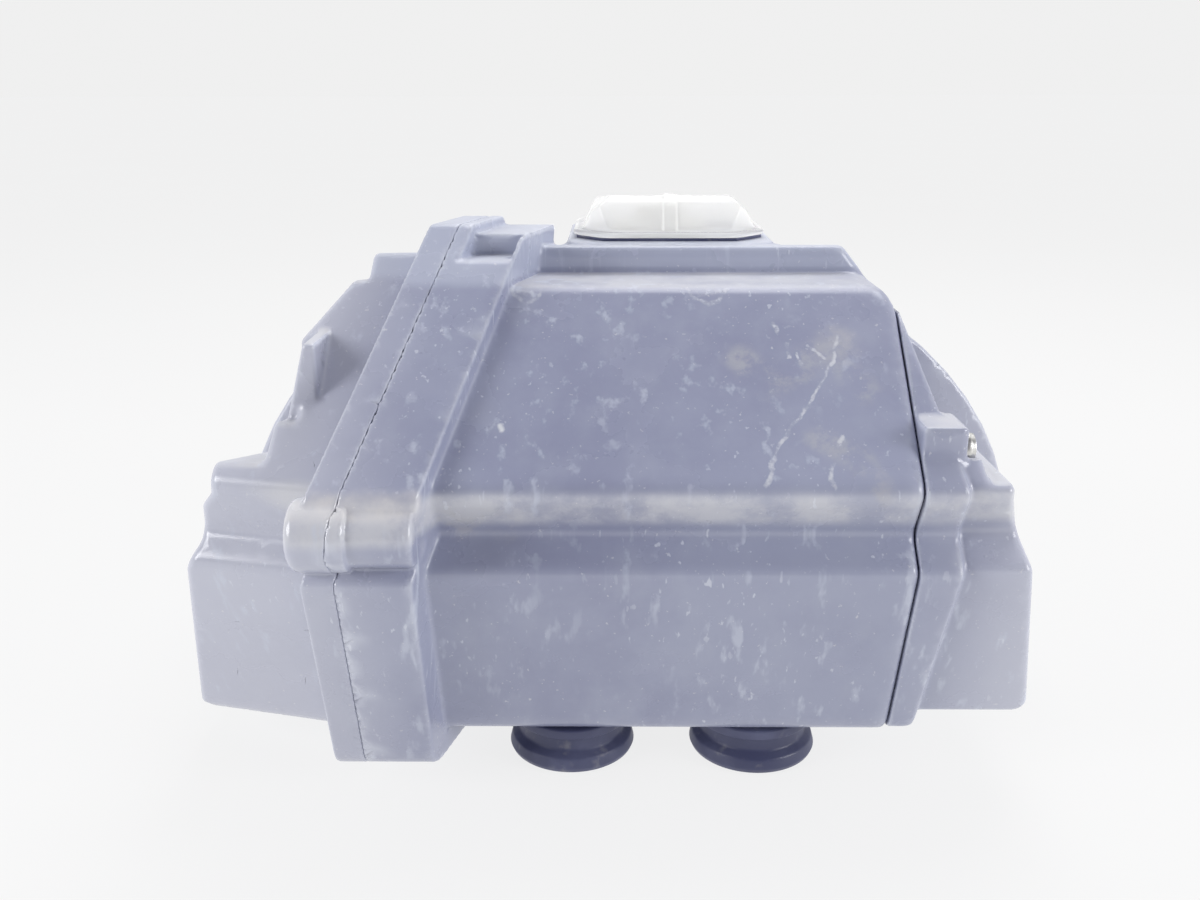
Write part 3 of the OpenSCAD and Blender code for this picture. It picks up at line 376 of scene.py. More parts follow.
def left_cover_form(space):
    """The left cover beyond its flange: a nose line, stepped ends and ledges that fall back."""
    x, y, z = space.x, space.y, space.z
    low, fall = FLOOR - 5, math.atan(LEDGE_FALL)
    local_y = (math.sin(COVER_YAW) * (x - FLANGE_LEFT)
               + math.cos(COVER_YAW) * (y + NOSE - 8))
    nose = outline([(CHIN, low, 9), (0, NOSE_Z - 4, 5), (GROOVE - 3, NOSE_Z + 4, 4),
                    (0, LIP_Z - 2, 5), (SLOPE * (TOP - LIP_Z), TOP, 4), (130, TOP),
                    (130, low)], local_y, z)

    def ends(rise, up, centre, squash):
        points = [(-40, low), (-151, low, 7), (-139.5, NOSE_Z - 4, 5), (-135, NOSE_Z + 4, 4),
                  (-133, LIP_Z - 7, 3), (-129, LIP_Z - 3, 3), (-128.5, LIP_Z + 4.5, 2),
                  (-113.5, LIP_Z + 4.5, 2), (-112.5, LIP_Z + 13.5, 2),
                  (-105, LIP_Z + 13.5, 2), (-110.5, LIP_Z + 30, 2), (-108.5, LIP_Z + 33, 2),
                  (-95, SHOULDER, 3), (-90.5, SHOULDER, 1), (-90, TOP - 1, 2),
                  (-40, TOP - 1)]
        shaped = []
        for point in points:
            height = point[1] - LIP_Z
            height = (height * rise if height > 0 else height) * squash
            shaped.append((point[0], centre + height) + point[2:])
        return outline(shaped, x, up)

    straight = ends(1.2, z, LIP_Z, 1)
    tilted = (y + NOSE - 8) * math.sin(fall) + (z - LIP_Z) * math.cos(fall)
    sloped = ends(1 + LEDGE_FALL * SLOPE, tilted, 0, math.cos(fall))
    return cut(nose, np.maximum(straight, sloped), 2.2)


def make_left_cover():
    space = Space([v - 3 for v in LEFT_LOW], [v + 3 for v in LEFT_HIGH], 0.7)
    x, y, z = space.x, space.y, space.z
    joint = flange_plane(space, FLANGE_JOINT)
    form = left_cover_form(space)
    outer = np.maximum(cut(form, y - COVER_BACK, 2), joint + GASKET)
    band = cut(ring_field(space, FLANGE_RISE), -flange_plane(space, FLANGE_LEFT), 1.1)
    band = cut(band, joint - LIP_LAP, 0.45)
    fin = cut(outline([(-110, LIP_Z + 10), (-100, LIP_Z + 10), (-100, LIP_Z + 34, 1),
                       (-103.5, LIP_Z + 34, 1)], x, z),
              np.maximum(-84 - y, y + 60), 1.2)
    outer = joined(joined(outer, band, 1.1), fin, 1.5)
    boss_x = flange_x(FLANGE_JOINT, BOSS_Y, BOSS_Z)
    boss = rod(y - BOSS_Y, z - BOSS_Z, BOSS_R, 3.2, x, boss_x - BOSS_CAP, boss_x + 6)
    outer = joined(outer, boss, 1.2)
    inside = np.maximum(np.maximum(form + WALL, y - COVER_BACK + WALL), joint - 4)
    ring = np.maximum(ring_field(space, -WALL),
                      np.maximum(-flange_plane(space, FLANGE_LEFT - 1), joint - 4))
    outer = np.maximum(outer, -np.minimum(inside, ring))
    outer = np.maximum(outer, -np.maximum(ring_field(space, FLANGE_RISE - RIM),
                                          -GASKET - joint))
    outer = np.maximum(outer, joint - LIP_LAP)
    seat = rod(y - BOSS_Y, z - BOSS_Z, SEAT_R, 0.4, x, boss_x - 20,
               boss_x - BOSS_CAP + SEAT_DEPTH)
    outer = np.maximum(outer, -seat)
    return finished(space.mesh(outer, "left_cover_moulding", 0.03), "housing", "left_cover")


def make_left_gasket():
    """A flat rubber ring in the flange's oblique joint, inside the cover's rim."""
    outer, inner = FLANGE_RISE - RIM - 0.2, 0.5 - WALL
    left, right = FLANGE_JOINT - GASKET, FLANGE_JOINT
    loops = [(rounded(ring_outline(rise)), x0)
             for rise, x0 in ((outer, right), (inner, right), (inner, left), (outer, left))]
    count = len(loops[0][0])
    verts = [(flange_x(x0, y, z) * MM, y * MM, z * MM)
             for points, x0 in loops for y, z in points]
    faces = [((k + 1) % 4 * count + i, (k + 1) % 4 * count + (i + 1) % count,
              k * count + (i + 1) % count, k * count + i)
             for k in range(4) for i in range(count)]
    return finished(new_piece("left_gasket_ring", verts, faces), "rubber", "left_gasket")


def make_right_cover():
    space = Space([v - 3 for v in RIGHT_LOW], [v + 3 for v in RIGHT_HIGH], 0.7)
    x, y, z = space.x, space.y, space.z
    start = SEAM + LIP_GAP
    band = cut(outline(nose_outline(NOSE, GROOVE, SHOULDER, COVER_BACK), y, z),
               outline([(SEAM - 9, FLOOR + 2), (SEAM + RIGHT_LOW_DEPTH, FLOOR + 2, 3),
                        (SEAM + RIGHT_DEPTH, NOSE_Z, 4), (SEAM + RIGHT_DEPTH, LIP_Z, 4),
                        (SEAM + 6, 122, 4), (SEAM, SHOULDER - 5, 3),
                        (SEAM - 9, SHOULDER - 5)], x, z), 1.4)
    side = outline([(SEAM - 9, FLOOR + 7.5), (109, FLOOR + 7.5, 4), (98.5, NOSE_Z, 5),
                    (96, GROOVE_Z, 4), (92, LIP_Z - 3, 4), (91.5, LIP_Z + 1.5, 2),
                    (SEAM + 18, LIP_Z + 1.5, 2), (SEAM + 17, LIP_Z + 8, 2),
                    (SEAM - 9, LIP_Z + 10)], x, z)
    block = cut(outline(nose_outline(NOSE - 3, GROOVE, SHOULDER, COVER_BACK), y, z), side, 2.2)
    outer = joined(band, block, 1.5)
    boss = cut(np.maximum(np.abs(y - RIGHT_BOSS_Y) - 8, np.abs(z - RIGHT_BOSS_Z + 3) - 11),
               np.maximum(SEAM - x, x - SEAM - RIGHT_BOSS_LENGTH), 1.8)
    outer = joined(outer, boss, 1.5)
    outer = cut(outer, start - x, 0.3)
    outer = np.maximum(outer, -np.maximum(np.minimum(block, band) + WALL, start - 3 - x))
    seat = rod(y - RIGHT_BOSS_Y, z - RIGHT_BOSS_Z, SEAT_R, 0.4, x,
               SEAM + RIGHT_BOSS_LENGTH, SEAM + RIGHT_BOSS_LENGTH + 6)
    outer = np.maximum(outer, -seat)
    return finished(space.mesh(outer, "right_cover_moulding", 0.03), "housing", "right_cover")


def make_dome():
    """The clear dome: a shell with drafted, rounded sides, a foot and a rib over the middle."""
    space = Space([v - 2 for v in DOME_LOW], [v + 2 for v in DOME_HIGH], 0.45)
    x, y, z = space.x - DOME_X, space.y, space.z
    low, high = DOME_LOW[2], DOME_HIGH[2] - 0.7

    def plan(grow):
        w, d = DOME_W, DOME_D
        return outline([(-w, 9 - d, 5), (8 - w, -d, 5), (w - 8, -d, 5), (w, 9 - d, 5),
                        (w, d - 9, 5), (w - 8, d, 5), (8 - w, d, 5), (-w, d - 9, 5)],
                       x, y) - grow

    def form(inset):
        across = outline([(-DOME_W, low - 5), (-DOME_W, low + 2, 4), (3.2 - DOME_W, low + 8, 5),
                          (9.5 - DOME_W, high, 5), (DOME_W - 9.5, high, 5),
                          (DOME_W - 3.2, low + 8, 5), (DOME_W, low + 2, 4),
                          (DOME_W, low - 5)], x, z)
        deep = outline([(-DOME_D, low - 5), (-DOME_D, low + 3, 3), (4 - DOME_D, high, 5),
                        (DOME_D - 4, high - DOME_FALL, 5), (DOME_D, low + 3, 3),
                        (DOME_D, low - 5)],
                       y, z)
        return np.maximum(np.maximum(plan(0), across), deep) + inset

    outer = np.maximum(form(0), low - z)
    foot = cut(plan(3), np.maximum(low - z, z - low - 1.8), 0.7)
    outer = joined(outer, foot, 0.8)
    rib = cut(np.abs(x) - 2.2, np.maximum(form(-0.6), low - z), 0.6)
    outer = joined(outer, rib, 0.6)
    outer = np.maximum(outer, -np.maximum(form(1.6), low - 5 - z))
    return finished(space.mesh(outer, "dome_moulding", 0.02), "clear_dome", "indicator_dome")


def lathe(name, profile, centre, slot, node, segments=96):
    """A closed profile of (radius, height) turned round a vertical axis."""
    count = len(profile)
    verts = [((centre[0] + r * math.cos(math.tau * k / segments)) * MM,
              (centre[1] + r * math.sin(math.tau * k / segments)) * MM, z * MM)
             for k in range(segments) for r, z in profile]
    faces = [(k * count + i, (k + 1) % segments * count + i,
              (k + 1) % segments * count + (i + 1) % count, k * count + (i + 1) % count)
             for k in range(segments) for i in range(count)]
    piece = new_piece(name, verts, faces)
    piece.data.shade_smooth()
    return finished(piece, slot, node)


def collar_profile(low, high, bore, lip):
    """A rubber collar: flared lip, waist, bead and groove, from the inside round."""
    outer = [(bore, high), (bore, low + 3), (bore + 1.2, low + 1, 1.5), (lip - 3.6, low, 1),
             (lip - 0.7, low, 0.8), (lip, low + 1.6, 0.8), (lip - 0.8, low + 4.6, 1.5),
             (lip - 3.2, low + 6.4, 1.5), (lip - 3.5, low + 10.5, 1),
             (lip - 1.2, low + 11.2, 0.7), (lip - 1.2, low + 14.2, 0.7),
             (lip - 4.2, low + 14.9, 0.5), (lip - 4.2, high - 3, 0.5),
             (lip - 3.4, high - 2.4, 0.5), (lip - 3.4, high, 0.5)]
    return rounded(outer, 4)


def make_rear_cover():
    space = Space([v - 3 for v in REAR_LOW], [v + 3 for v in REAR_HIGH], 0.9)
    x, y, z = space.x, space.y, space.z
    base = REAR_LOW[1]
    outer = cut(arch_field(space, 0.3), np.maximum(base + 0.1 - y, y - base - 4), 1.3)
    raised = cut(arch_field(space, 14), np.maximum(base - y, y - base - 7), 1.6)
    outer = joined(outer, raised, 1.5)
    for k in range(8):
        rib_x = -94.5 + 24 * k
        top = 100 - abs(rib_x - ARCH_X) / 4
        rib = cut(np.abs(x - rib_x) - 1.5, np.maximum(34 - z, z - top), 1.2)
        rib = cut(rib, np.maximum(base - y, y - REAR_HIGH[1] + 0.05), 0.8)
        outer = joined(outer, rib, 1.2)
    for place_x, place_z in REAR_SCREWS:
        dish = np.maximum(np.hypot(x - place_x, z - place_z) - 6, base + 4 - y)
        outer = np.maximum(outer, -dish)
    return finished(space.mesh(outer, "rear_cover_moulding", 0.03), "housing", "rear_cover")


def finished(piece, slot, node, body="housing"):
    """Gives a new piece its body and the finish of its slot, and hides the CAD node it stands for.
    """
    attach(piece, body)
    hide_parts(node)
    piece.data.materials.append(MATERIALS[slot])
    return piece


# ---- materials ----

class Look:
    """A small builder for one procedural material, in object coordinates (metres)."""

    def __init__(self, name):
        self.material = bpy.data.materials.new(name)
        self.material.use_nodes = True
        self.tree = self.material.node_tree
        self.shader = next(n for n in self.tree.nodes if n.type == "BSDF_PRINCIPLED")
        self.place = self.add("ShaderNodeTexCoord").outputs["Object"]
        geometry = self.add("ShaderNodeNewGeometry")
        self.normal = geometry.outputs["Normal"]
        self.edge = geometry.outputs["Pointiness"]
        self.waved = None

    def add(self, kind, **settings):
        made = self.tree.nodes.new(kind)
        for key, value in settings.items():
            setattr(made, key, value)
        return made

    def link(self, source, target):
        if hasattr(source, "is_output"):
            self.tree.links.new(source, target)
        else:
            target.default_value = source

    def stretched(self, scale, turn=(0, 0, 0), offset=(0, 0, 0)):
        made = self.add("ShaderNodeMapping")
        self.link(self.place, made.inputs["Vector"])
        made.inputs["Scale"].default_value = scale
        made.inputs["Rotation"].default_value = turn
        made.inputs["Location"].default_value = offset
        return made.outputs["Vector"]

    def noise(self, scale, detail=4.0, vector=None, rough=0.55):
        made = self.add("ShaderNodeTexNoise")
        self.link(vector or self.place, made.inputs["Vector"])
        made.inputs["Scale"].default_value = scale
        made.inputs["Detail"].default_value = detail
        made.inputs["Roughness"].default_value = rough
        return made.outputs["Fac"]

    def spread(self, value, low, high, to_low=0.0, to_high=1.0):
        made = self.add("ShaderNodeMapRange", interpolation_type="SMOOTHSTEP")
        self.link(value, made.inputs["Value"])
        for key, number in zip(("From Min", "From Max", "To Min", "To Max"),
                               (low, high, to_low, to_high)):
            made.inputs[key].default_value = number
        return made.outputs["Result"]

    def maths(self, operation, a, b=0.0):
        made = self.add("ShaderNodeMath", operation=operation)
        self.link(a, made.inputs[0])
        self.link(b, made.inputs[1])
        return made.outputs[0]

    def part(self, vector, axis):
        made = self.add("ShaderNodeSeparateXYZ")
        self.link(vector, made.inputs[0])
        return made.outputs[axis]

    def mix(self, share, a, b):
        made = self.add("ShaderNodeMix", data_type="RGBA")
        self.link(share, made.inputs["Factor"])
        for value, target in ((a, made.inputs[6]), (b, made.inputs[7])):
            self.link(value if hasattr(value, "is_output") else (*value, 1.0), target)
        return made.outputs[2]

    def stroke(self, start, end, width):
        """A soft line from start to end, in millimetres, 1 on it and 0 away from it."""
        a, b = Vector(start) * MM, Vector(end) * MM
        run = b - a
        offset = self.vector("SUBTRACT", self.wavy(), tuple(a))
        share = self.maths("DIVIDE", self.vector("DOT_PRODUCT", offset, tuple(run), "Value"),
                           run.length_squared)
        share = self.maths("MINIMUM", self.maths("MAXIMUM", share, 0.0), 1.0)
        near = self.add("ShaderNodeVectorMath", operation="SCALE")
        near.inputs[0].default_value = tuple(run)
        self.link(share, near.inputs["Scale"])
        gap = self.vector("LENGTH", self.vector("SUBTRACT", offset, near.outputs[0]),
                          None, "Value")
        return self.spread(gap, width * MM, width * MM * 0.25)

    def wavy(self):
        """The object coordinates, shifted a little by noise, so that marks aren't straight."""
        if self.waved is None:
            made = self.add("ShaderNodeTexNoise")
            self.link(self.place, made.inputs["Vector"])
            made.inputs["Scale"].default_value = 160
            made.inputs["Detail"].default_value = 3
            shift = self.add("ShaderNodeVectorMath", operation="MULTIPLY_ADD")
            self.link(made.outputs["Color"], shift.inputs[0])
            shift.inputs[1].default_value = (0.0045,) * 3
            shift.inputs[2].default_value = (-0.00225,) * 3
            self.waved = self.vector("ADD", self.place, shift.outputs[0])
        return self.waved

    def on_panel(self, x, z):
        """A point on the sloped front panel, from its distance across and its height."""
        return x, -NOSE + SLOPE * (z - LIP_Z), z

    def path(self, points, width):
        """A soft line through points, each (across, height) on the sloped panel."""
        places = [self.on_panel(*p) for p in points]
        total = None
        for a, b in zip(places, places[1:]):
            piece = self.stroke(a, b, width)
            total = piece if total is None else self.maths("MAXIMUM", total, piece)
        return total

    def marks(self):
        """The two rubbed half moons, the long scratches and the chip on the front panel."""
        rub = self.path([(-46, 146.5), (-44.7, 144.3), (-41.5, 143), (-38, 144),
                         (-37, 146)], 1.0)
        rub = self.maths("MAXIMUM", rub, self.path([(-44, 145.8), (-40.5, 145)], 1.6))
        rub = self.maths("MAXIMUM", rub, self.path(
            [(6.5, 146.7), (8.2, 143.8), (11.6, 142.4), (15, 143.4), (17.2, 146)], 1.1))
        rub = self.maths("MAXIMUM", rub, self.path([(9.2, 145.6), (15, 145.4)], 1.8))
        thin = self.path([(48.5, 135), (45.5, 128.5), (39.5, 121), (33, 115), (28, 109),
                          (23.5, 100)], 0.9)
        thin = self.maths("MAXIMUM", thin, self.path(
            [(46, 112.5), (42, 106), (43, 100), (46, 96.5)], 0.9))
        for a, b in (((33, 133), (33.6, 130)), ((36.2, 130.5), (37, 127.8)),
                     ((30.2, 141.4), (31, 135.4)), ((44, 130), (40, 133))):
            thin = self.maths("MAXIMUM", thin, self.path([a, b], 0.8))
        chip = self.path([(-46.8, 114.8), (-45.8, 113.7)], 1.2)
        broken = self.spread(self.noise(230, 5, rough=0.7), 0.38, 0.60, 0.1, 1.0)
        total = self.maths("MAXIMUM", self.maths("MULTIPLY", rub, 0.45),
                           self.maths("MULTIPLY", thin, 0.75))
        return self.maths("MAXIMUM", self.maths("MULTIPLY", total, broken), chip)

    def patches(self):
        """Dusty smears near the right of the front panel and beside the left flange."""
        smear = self.path([(20, 130), (28, 124), (40, 130), (49, 134), (53, 123)], 7)
        smear = self.maths("MAXIMUM", smear, self.path([(40, 112), (50, 108), (55, 100)], 6))
        smear = self.maths("MAXIMUM", smear, self.stroke(
            (-63, -NOSE + 6, LIP_Z - 9), (-46, -NOSE + 6, LIP_Z - 10), 8))
        return self.maths("MULTIPLY", smear,
                          self.spread(self.noise(75, 6, rough=0.7), 0.42, 0.62))

    def vector(self, operation, a, b=None, output="Vector"):
        made = self.add("ShaderNodeVectorMath", operation=operation)
        self.link(a, made.inputs[0])
        if b is not None:
            self.link(b, made.inputs[1])
        return made.outputs[output]

    def bump(self, height, strength, distance):
        made = self.add("ShaderNodeBump")
        self.link(height, made.inputs["Height"])
        made.inputs["Strength"].default_value = strength
        made.inputs["Distance"].default_value = distance * MM
        self.link(made.outputs["Normal"], self.shader.inputs["Normal"])

    def finish(self, colour, roughness, metallic=0.0):
        self.link(colour if hasattr(colour, "is_output") else (*colour, 1.0),
                  self.shader.inputs["Base Color"])
        self.link(roughness, self.shader.inputs["Roughness"])
        self.shader.inputs["Metallic"].default_value = metallic
        return self.material


def housing_look():
    """Glossy dark blue moulded plastic, aged: dust on ledges, rubbed marks, fine scratches.
    Painted light too: glare at the ends, sheen on top, a floor reflection under the lip,
    highlights on edges and the boss.
    """
    look = Look("aged_blue_plastic_painted_light")
    cloud = look.noise(11, 6, rough=0.62)
    colour = look.mix(look.spread(cloud, 0.36, 0.64), (0.285, 0.302, 0.425),
                      (0.350, 0.372, 0.495))
    fine = look.noise(90, 4, look.stretched((1.0, 1.0, 0.5)))
    colour = look.mix(look.spread(fine, 0.45, 0.75, 0.0, 0.3), colour, (0.400, 0.425, 0.530))
    # Painted glare: the colour turns lighter and greyer towards the left and right ends, standing
    # in for haze from the bright background.
    ends = look.maths("ABSOLUTE", look.part(look.place, 0))
    end_glare = look.spread(ends, 0.060, 0.112, 0.0, 0.60)
    colour = look.mix(end_glare, colour, (0.68, 0.69, 0.76))
    # Lighter on faces that look up: partly dust, partly a painted sheen of the light from above.
    up = look.part(look.normal, 2)
    dust_and_top_sheen = look.maths("MULTIPLY", look.spread(up, 0.80, 0.985),
                       look.spread(look.noise(38, 6, rough=0.65), 0.30, 0.60, 0.35, 1.0))
    colour = look.mix(look.maths("MULTIPLY", dust_and_top_sheen, 0.6), colour, (0.68, 0.68, 0.69))
    height = look.part(look.place, 2)
    # A light band on the front face under the lip: a painted reflection of the pale floor, broken
    # up by noise like dust.
    lip = look.maths("MULTIPLY", look.spread(height, (LIP_Z - 12) * MM, (LIP_Z - 8) * MM),
                     look.spread(height, (LIP_Z + 1.5) * MM, (LIP_Z - 2) * MM))
    lip = look.maths("MULTIPLY", lip, look.spread(look.noise(45, 6, rough=0.68), 0.34, 0.60,
                                                  0.25, 1.0))
    front = look.spread(look.part(look.place, 1), -0.100, -0.104)
    colour = look.mix(look.maths("MULTIPLY", look.maths("MULTIPLY", lip, front), 0.62), colour,
                      (0.74, 0.74, 0.75))
    # Painted sheen: the top of the housing turns lighter and bluer, standing in for the reflection
    # of the bright sky.
    high = look.spread(height, (TOP - 9) * MM, (TOP - 6) * MM, 0.0, 0.45)
    colour = look.mix(high, colour, (0.56, 0.60, 0.72))
    streaks = look.noise(210, 3, look.stretched((1.0, 1.0, 0.05)))
    streaks = look.maths("MULTIPLY", look.spread(streaks, 0.58, 0.72),
                         look.spread(look.noise(14, 3), 0.38, 0.58))
    colour = look.mix(look.maths("MULTIPLY", streaks, 0.5), colour, (0.62, 0.66, 0.76))
    flecks = look.spread(look.noise(520, 2, look.stretched((1.0, 1.0, 0.22))), 0.66, 0.72)
    flecks = look.maths("MULTIPLY", flecks, look.spread(look.noise(20, 3), 0.40, 0.62))
    colour = look.mix(look.maths("MULTIPLY", flecks, 0.5), colour, (0.74, 0.77, 0.84))
    specks = look.spread(look.noise(760, 2), 0.69, 0.74)
    colour = look.mix(look.maths("MULTIPLY", specks, 0.34), colour, (0.84, 0.83, 0.82))
    # Lighter on sharp edges: partly edge wear, partly a painted highlight along the edges.
    wear_and_edge_highlight = look.spread(look.edge, 0.512, 0.57)
    wear_and_edge_highlight = look.maths("MULTIPLY", wear_and_edge_highlight, look.spread(look.noise(70, 4), 0.35, 0.6, 0.3, 1.0))
    colour = look.mix(look.maths("MULTIPLY", wear_and_edge_highlight, 0.55), colour, (0.72, 0.75, 0.83))
    colour = look.mix(look.maths("MULTIPLY", look.patches(), 0.4), colour, (0.56, 0.55, 0.54))
    # A painted highlight along the top of the left boss, broken up by noise.
    boss_top_highlight = look.stroke((-104, BOSS_Y - 4, BOSS_Z + 9), (-68, BOSS_Y - 4, BOSS_Z + 9), 6)
    boss_top_highlight = look.maths("MULTIPLY", boss_top_highlight,
                          look.spread(look.noise(70, 5), 0.35, 0.6, 0.4, 1.0))
    colour = look.mix(look.maths("MULTIPLY", boss_top_highlight, 0.6), colour, (0.86, 0.83, 0.80))
    marks = look.marks()
    colour = look.mix(marks, colour, (0.66, 0.68, 0.72))
    rough = look.spread(look.noise(35, 5), 0.3, 0.7, 0.17, 0.32)
    look.shader.inputs["IOR"].default_value = 1.62
    rough = look.maths("ADD", rough, look.maths("MULTIPLY", dust_and_top_sheen, 0.4))
    rough = look.maths("ADD", rough, look.maths("MULTIPLY", marks, 0.3))
    grain = look.noise(900, 3)
    waves = look.noise(20, 2)
    height = look.maths("ADD", look.maths("MULTIPLY", grain, 0.12), waves)
    height = look.maths("ADD", height, look.maths("MULTIPLY", marks, 0.3))
    look.bump(height, 0.25, 0.5)
    return look.finish(colour, rough)


def rubber_look():
    look = Look("aged_rubber")
    cloud = look.noise(40, 4)
    colour = look.mix(look.spread(cloud, 0.4, 0.7), (0.060, 0.066, 0.135), (0.115, 0.125, 0.215))
    dust = look.spread(look.noise(180, 5), 0.58, 0.75, 0.0, 0.3)
    colour = look.mix(dust, colour, (0.34, 0.33, 0.32))
    look.bump(look.noise(700, 3), 0.3, 0.15)
    return look.finish(colour, look.spread(cloud, 0.3, 0.7, 0.35, 0.6))


def clear_look():
    look = Look("hazed_clear_plastic")
    haze = look.spread(look.noise(60, 5), 0.35, 0.75)
    colour = look.mix(haze, (0.99, 0.99, 0.99), (0.96, 0.96, 0.95))
    # The dome glows a little: this emission is painted light that brightens it beyond what the
    # lamps give.
    look.shader.inputs["Emission Color"].default_value = (1, 1, 1, 1)
    look.shader.inputs["Emission Strength"].default_value = 0.10
    low = look.spread(look.part(look.place, 2), 0.1575, 0.1600)
    colour = look.mix(look.maths("MULTIPLY", low, 0.12), colour, (0.80, 0.80, 0.76))
    look.shader.inputs["Transmission Weight"].default_value = 0.62
    look.shader.inputs["IOR"].default_value = 1.38
    look.bump(look.noise(240, 3), 0.15, 0.1)
    return look.finish(colour, look.spread(haze, 0.0, 1.0, 0.12, 0.24))


def plain_look(name, dark, light, low, high, metallic=0.0, scale=60, bump=0.1):
    """A finish with mottled colour, uneven gloss and a fine surface grain."""
    look = Look(name)
    cloud = look.noise(scale, 5)
    colour = look.mix(look.spread(cloud, 0.3, 0.7), dark, light)
    grime = look.spread(look.noise(scale * 5, 4), 0.58, 0.78, 0.0, 0.35)
    colour = look.mix(grime, colour, tuple(c * 0.6 for c in dark))
    look.bump(look.noise(scale * 14, 3), 0.3, bump)
    return look.finish(colour, look.spread(cloud, 0.3, 0.7, low, high), metallic)


MATERIALS = {
    "housing": housing_look(),
    "rubber": rubber_look(),
    "clear_dome": clear_look(),
    "pale_plastic": plain_look("pale_plastic", (0.62, 0.62, 0.58), (0.78, 0.78, 0.74), 0.4, 0.6),
    "cast_alloy": plain_look("cast_alloy", (0.42, 0.43, 0.44), (0.58, 0.59, 0.60),
                             0.35, 0.55, 1.0),
    "bronze": plain_look("bronze", (0.46, 0.30, 0.12), (0.60, 0.42, 0.20), 0.25, 0.4, 1.0),
    "gear_steel": plain_look("gear_steel", (0.28, 0.29, 0.31), (0.42, 0.43, 0.45), 0.25, 0.4, 1.0),
    "plate_steel": plain_look("plate_steel", (0.50, 0.51, 0.50), (0.66, 0.66, 0.62),
                              0.3, 0.5, 1.0),
    "steel": plain_look("plated_steel", (0.58, 0.58, 0.57), (0.75, 0.74, 0.71),
                        0.2, 0.42, 1.0, 160),
    "motor_enamel": plain_look("motor_enamel", (0.09, 0.10, 0.11), (0.14, 0.15, 0.16), 0.35, 0.5),
    "black_plastic": plain_look("black_plastic", (0.020, 0.020, 0.022), (0.04, 0.04, 0.045),
                                0.4, 0.6),
    "cam_plastic": plain_look("cam_plastic", (0.55, 0.20, 0.04), (0.68, 0.28, 0.07), 0.4, 0.55),
    "board_green": plain_look("board_green", (0.02, 0.11, 0.05), (0.03, 0.16, 0.07), 0.25, 0.4),
    "terminal_green": plain_look("terminal_green", (0.05, 0.24, 0.12), (0.08, 0.32, 0.16),
                                 0.4, 0.55),
    "capacitor_can": plain_look("capacitor_can", (0.60, 0.61, 0.63), (0.74, 0.75, 0.77),
                                0.25, 0.4, 1.0),
    "transformer_tape": plain_look("transformer_tape", (0.42, 0.26, 0.10), (0.56, 0.36, 0.16),
                                   0.45, 0.6),
    "heater_ceramic": plain_look("heater_ceramic", (0.52, 0.42, 0.30), (0.64, 0.54, 0.42),
                                 0.5, 0.7),
}


make_body()
make_left_cover()
make_left_gasket()
make_right_cover()
make_rear_cover()
make_dome()
for side, node in ((-1, "left_cable_collar"), (1, "right_cable_collar")):
    lathe(node + "_rubber", collar_profile(COLLAR_LOW[2], COLLAR_HIGH[2], COLLAR_BORE_R,
                                           (COLLAR_HIGH[0] - COLLAR_LOW[0]) / 2),
          (side * COLLAR_X, COLLAR_Y), "rubber", node)

# ---- pieces kept from the CAD, with softened edges ----

SLOT_OF = {row["node"]: row["material_slot"] for row in frame["record"]["subparts"]}
REPLACED = {"body", "left_cover", "left_gasket", "right_cover", "rear_cover",
            "indicator_dome", "left_cable_collar", "right_cable_collar"}


def smooth_by_angle():
    """A modifier tree that shades round faces smooth and keeps sharp edges."""
    tree = bpy.data.node_groups.new("smooth_by_angle", "GeometryNodeTree")
    tree.interface.new_socket("Geometry", in_out="INPUT", socket_type="NodeSocketGeometry")
    tree.interface.new_socket("Geometry", in_out="OUTPUT", socket_type="NodeSocketGeometry")
    start, end = tree.nodes.new("NodeGroupInput"), tree.nodes.new("NodeGroupOutput")
    faces = tree.nodes.new("GeometryNodeSetShadeSmooth")
    edges = tree.nodes.new("GeometryNodeSetShadeSmooth")
    edges.domain = "EDGE"
    edges.inputs["Shade Smooth"].default_value = False
    angle = tree.nodes.new("GeometryNodeInputMeshEdgeAngle")
    sharp = tree.nodes.new("ShaderNodeMath")
    sharp.operation = "GREATER_THAN"
    sharp.inputs[1].default_value = math.radians(32)
    tree.links.new(start.outputs[0], faces.inputs["Geometry"])
    tree.links.new(faces.outputs[0], edges.inputs["Geometry"])
    tree.links.new(angle.outputs["Unsigned Angle"], sharp.inputs[0])
    tree.links.new(sharp.outputs[0], edges.inputs["Selection"])
    tree.links.new(edges.outputs[0], end.inputs[0])
    return tree


SMOOTH = smooth_by_angle()


def soften(piece, width):
    """Welds a CAD mesh, clears its flat faces of triangles and rounds its sharp edges."""
    weld = piece.modifiers.new("weld", "WELD")
    weld.merge_threshold = 0.00001
    flat = piece.modifiers.new("flat", "DECIMATE")
    flat.decimate_type = "DISSOLVE"
    flat.angle_limit = math.radians(0.5)
    bevel = piece.modifiers.new("edges", "BEVEL")
    bevel.width = width * MM
    bevel.segments = 2
    bevel.limit_method = "ANGLE"
    bevel.angle_limit = math.radians(35)
    shade = piece.modifiers.new("shade", "NODES")
    shade.node_group = SMOOTH


for name, piece in frame["nodes"].items():
    if name not in REPLACED:
        piece.data.materials.clear()
        piece.data.materials.append(MATERIALS[SLOT_OF[name]])
        soften(piece, 0.25)

# ---- stage, light and camera ----

FLOOR_TOP = cad_box[0][2]
CAMERA_PLACE = (-16.2, -400.6, 202.6)
CAMERA_ANGLES = (90 - 17.39, 0.13, 0.58)  # 17.39 degrees below level, nearly square on
CAMERA_LENS = 34.5


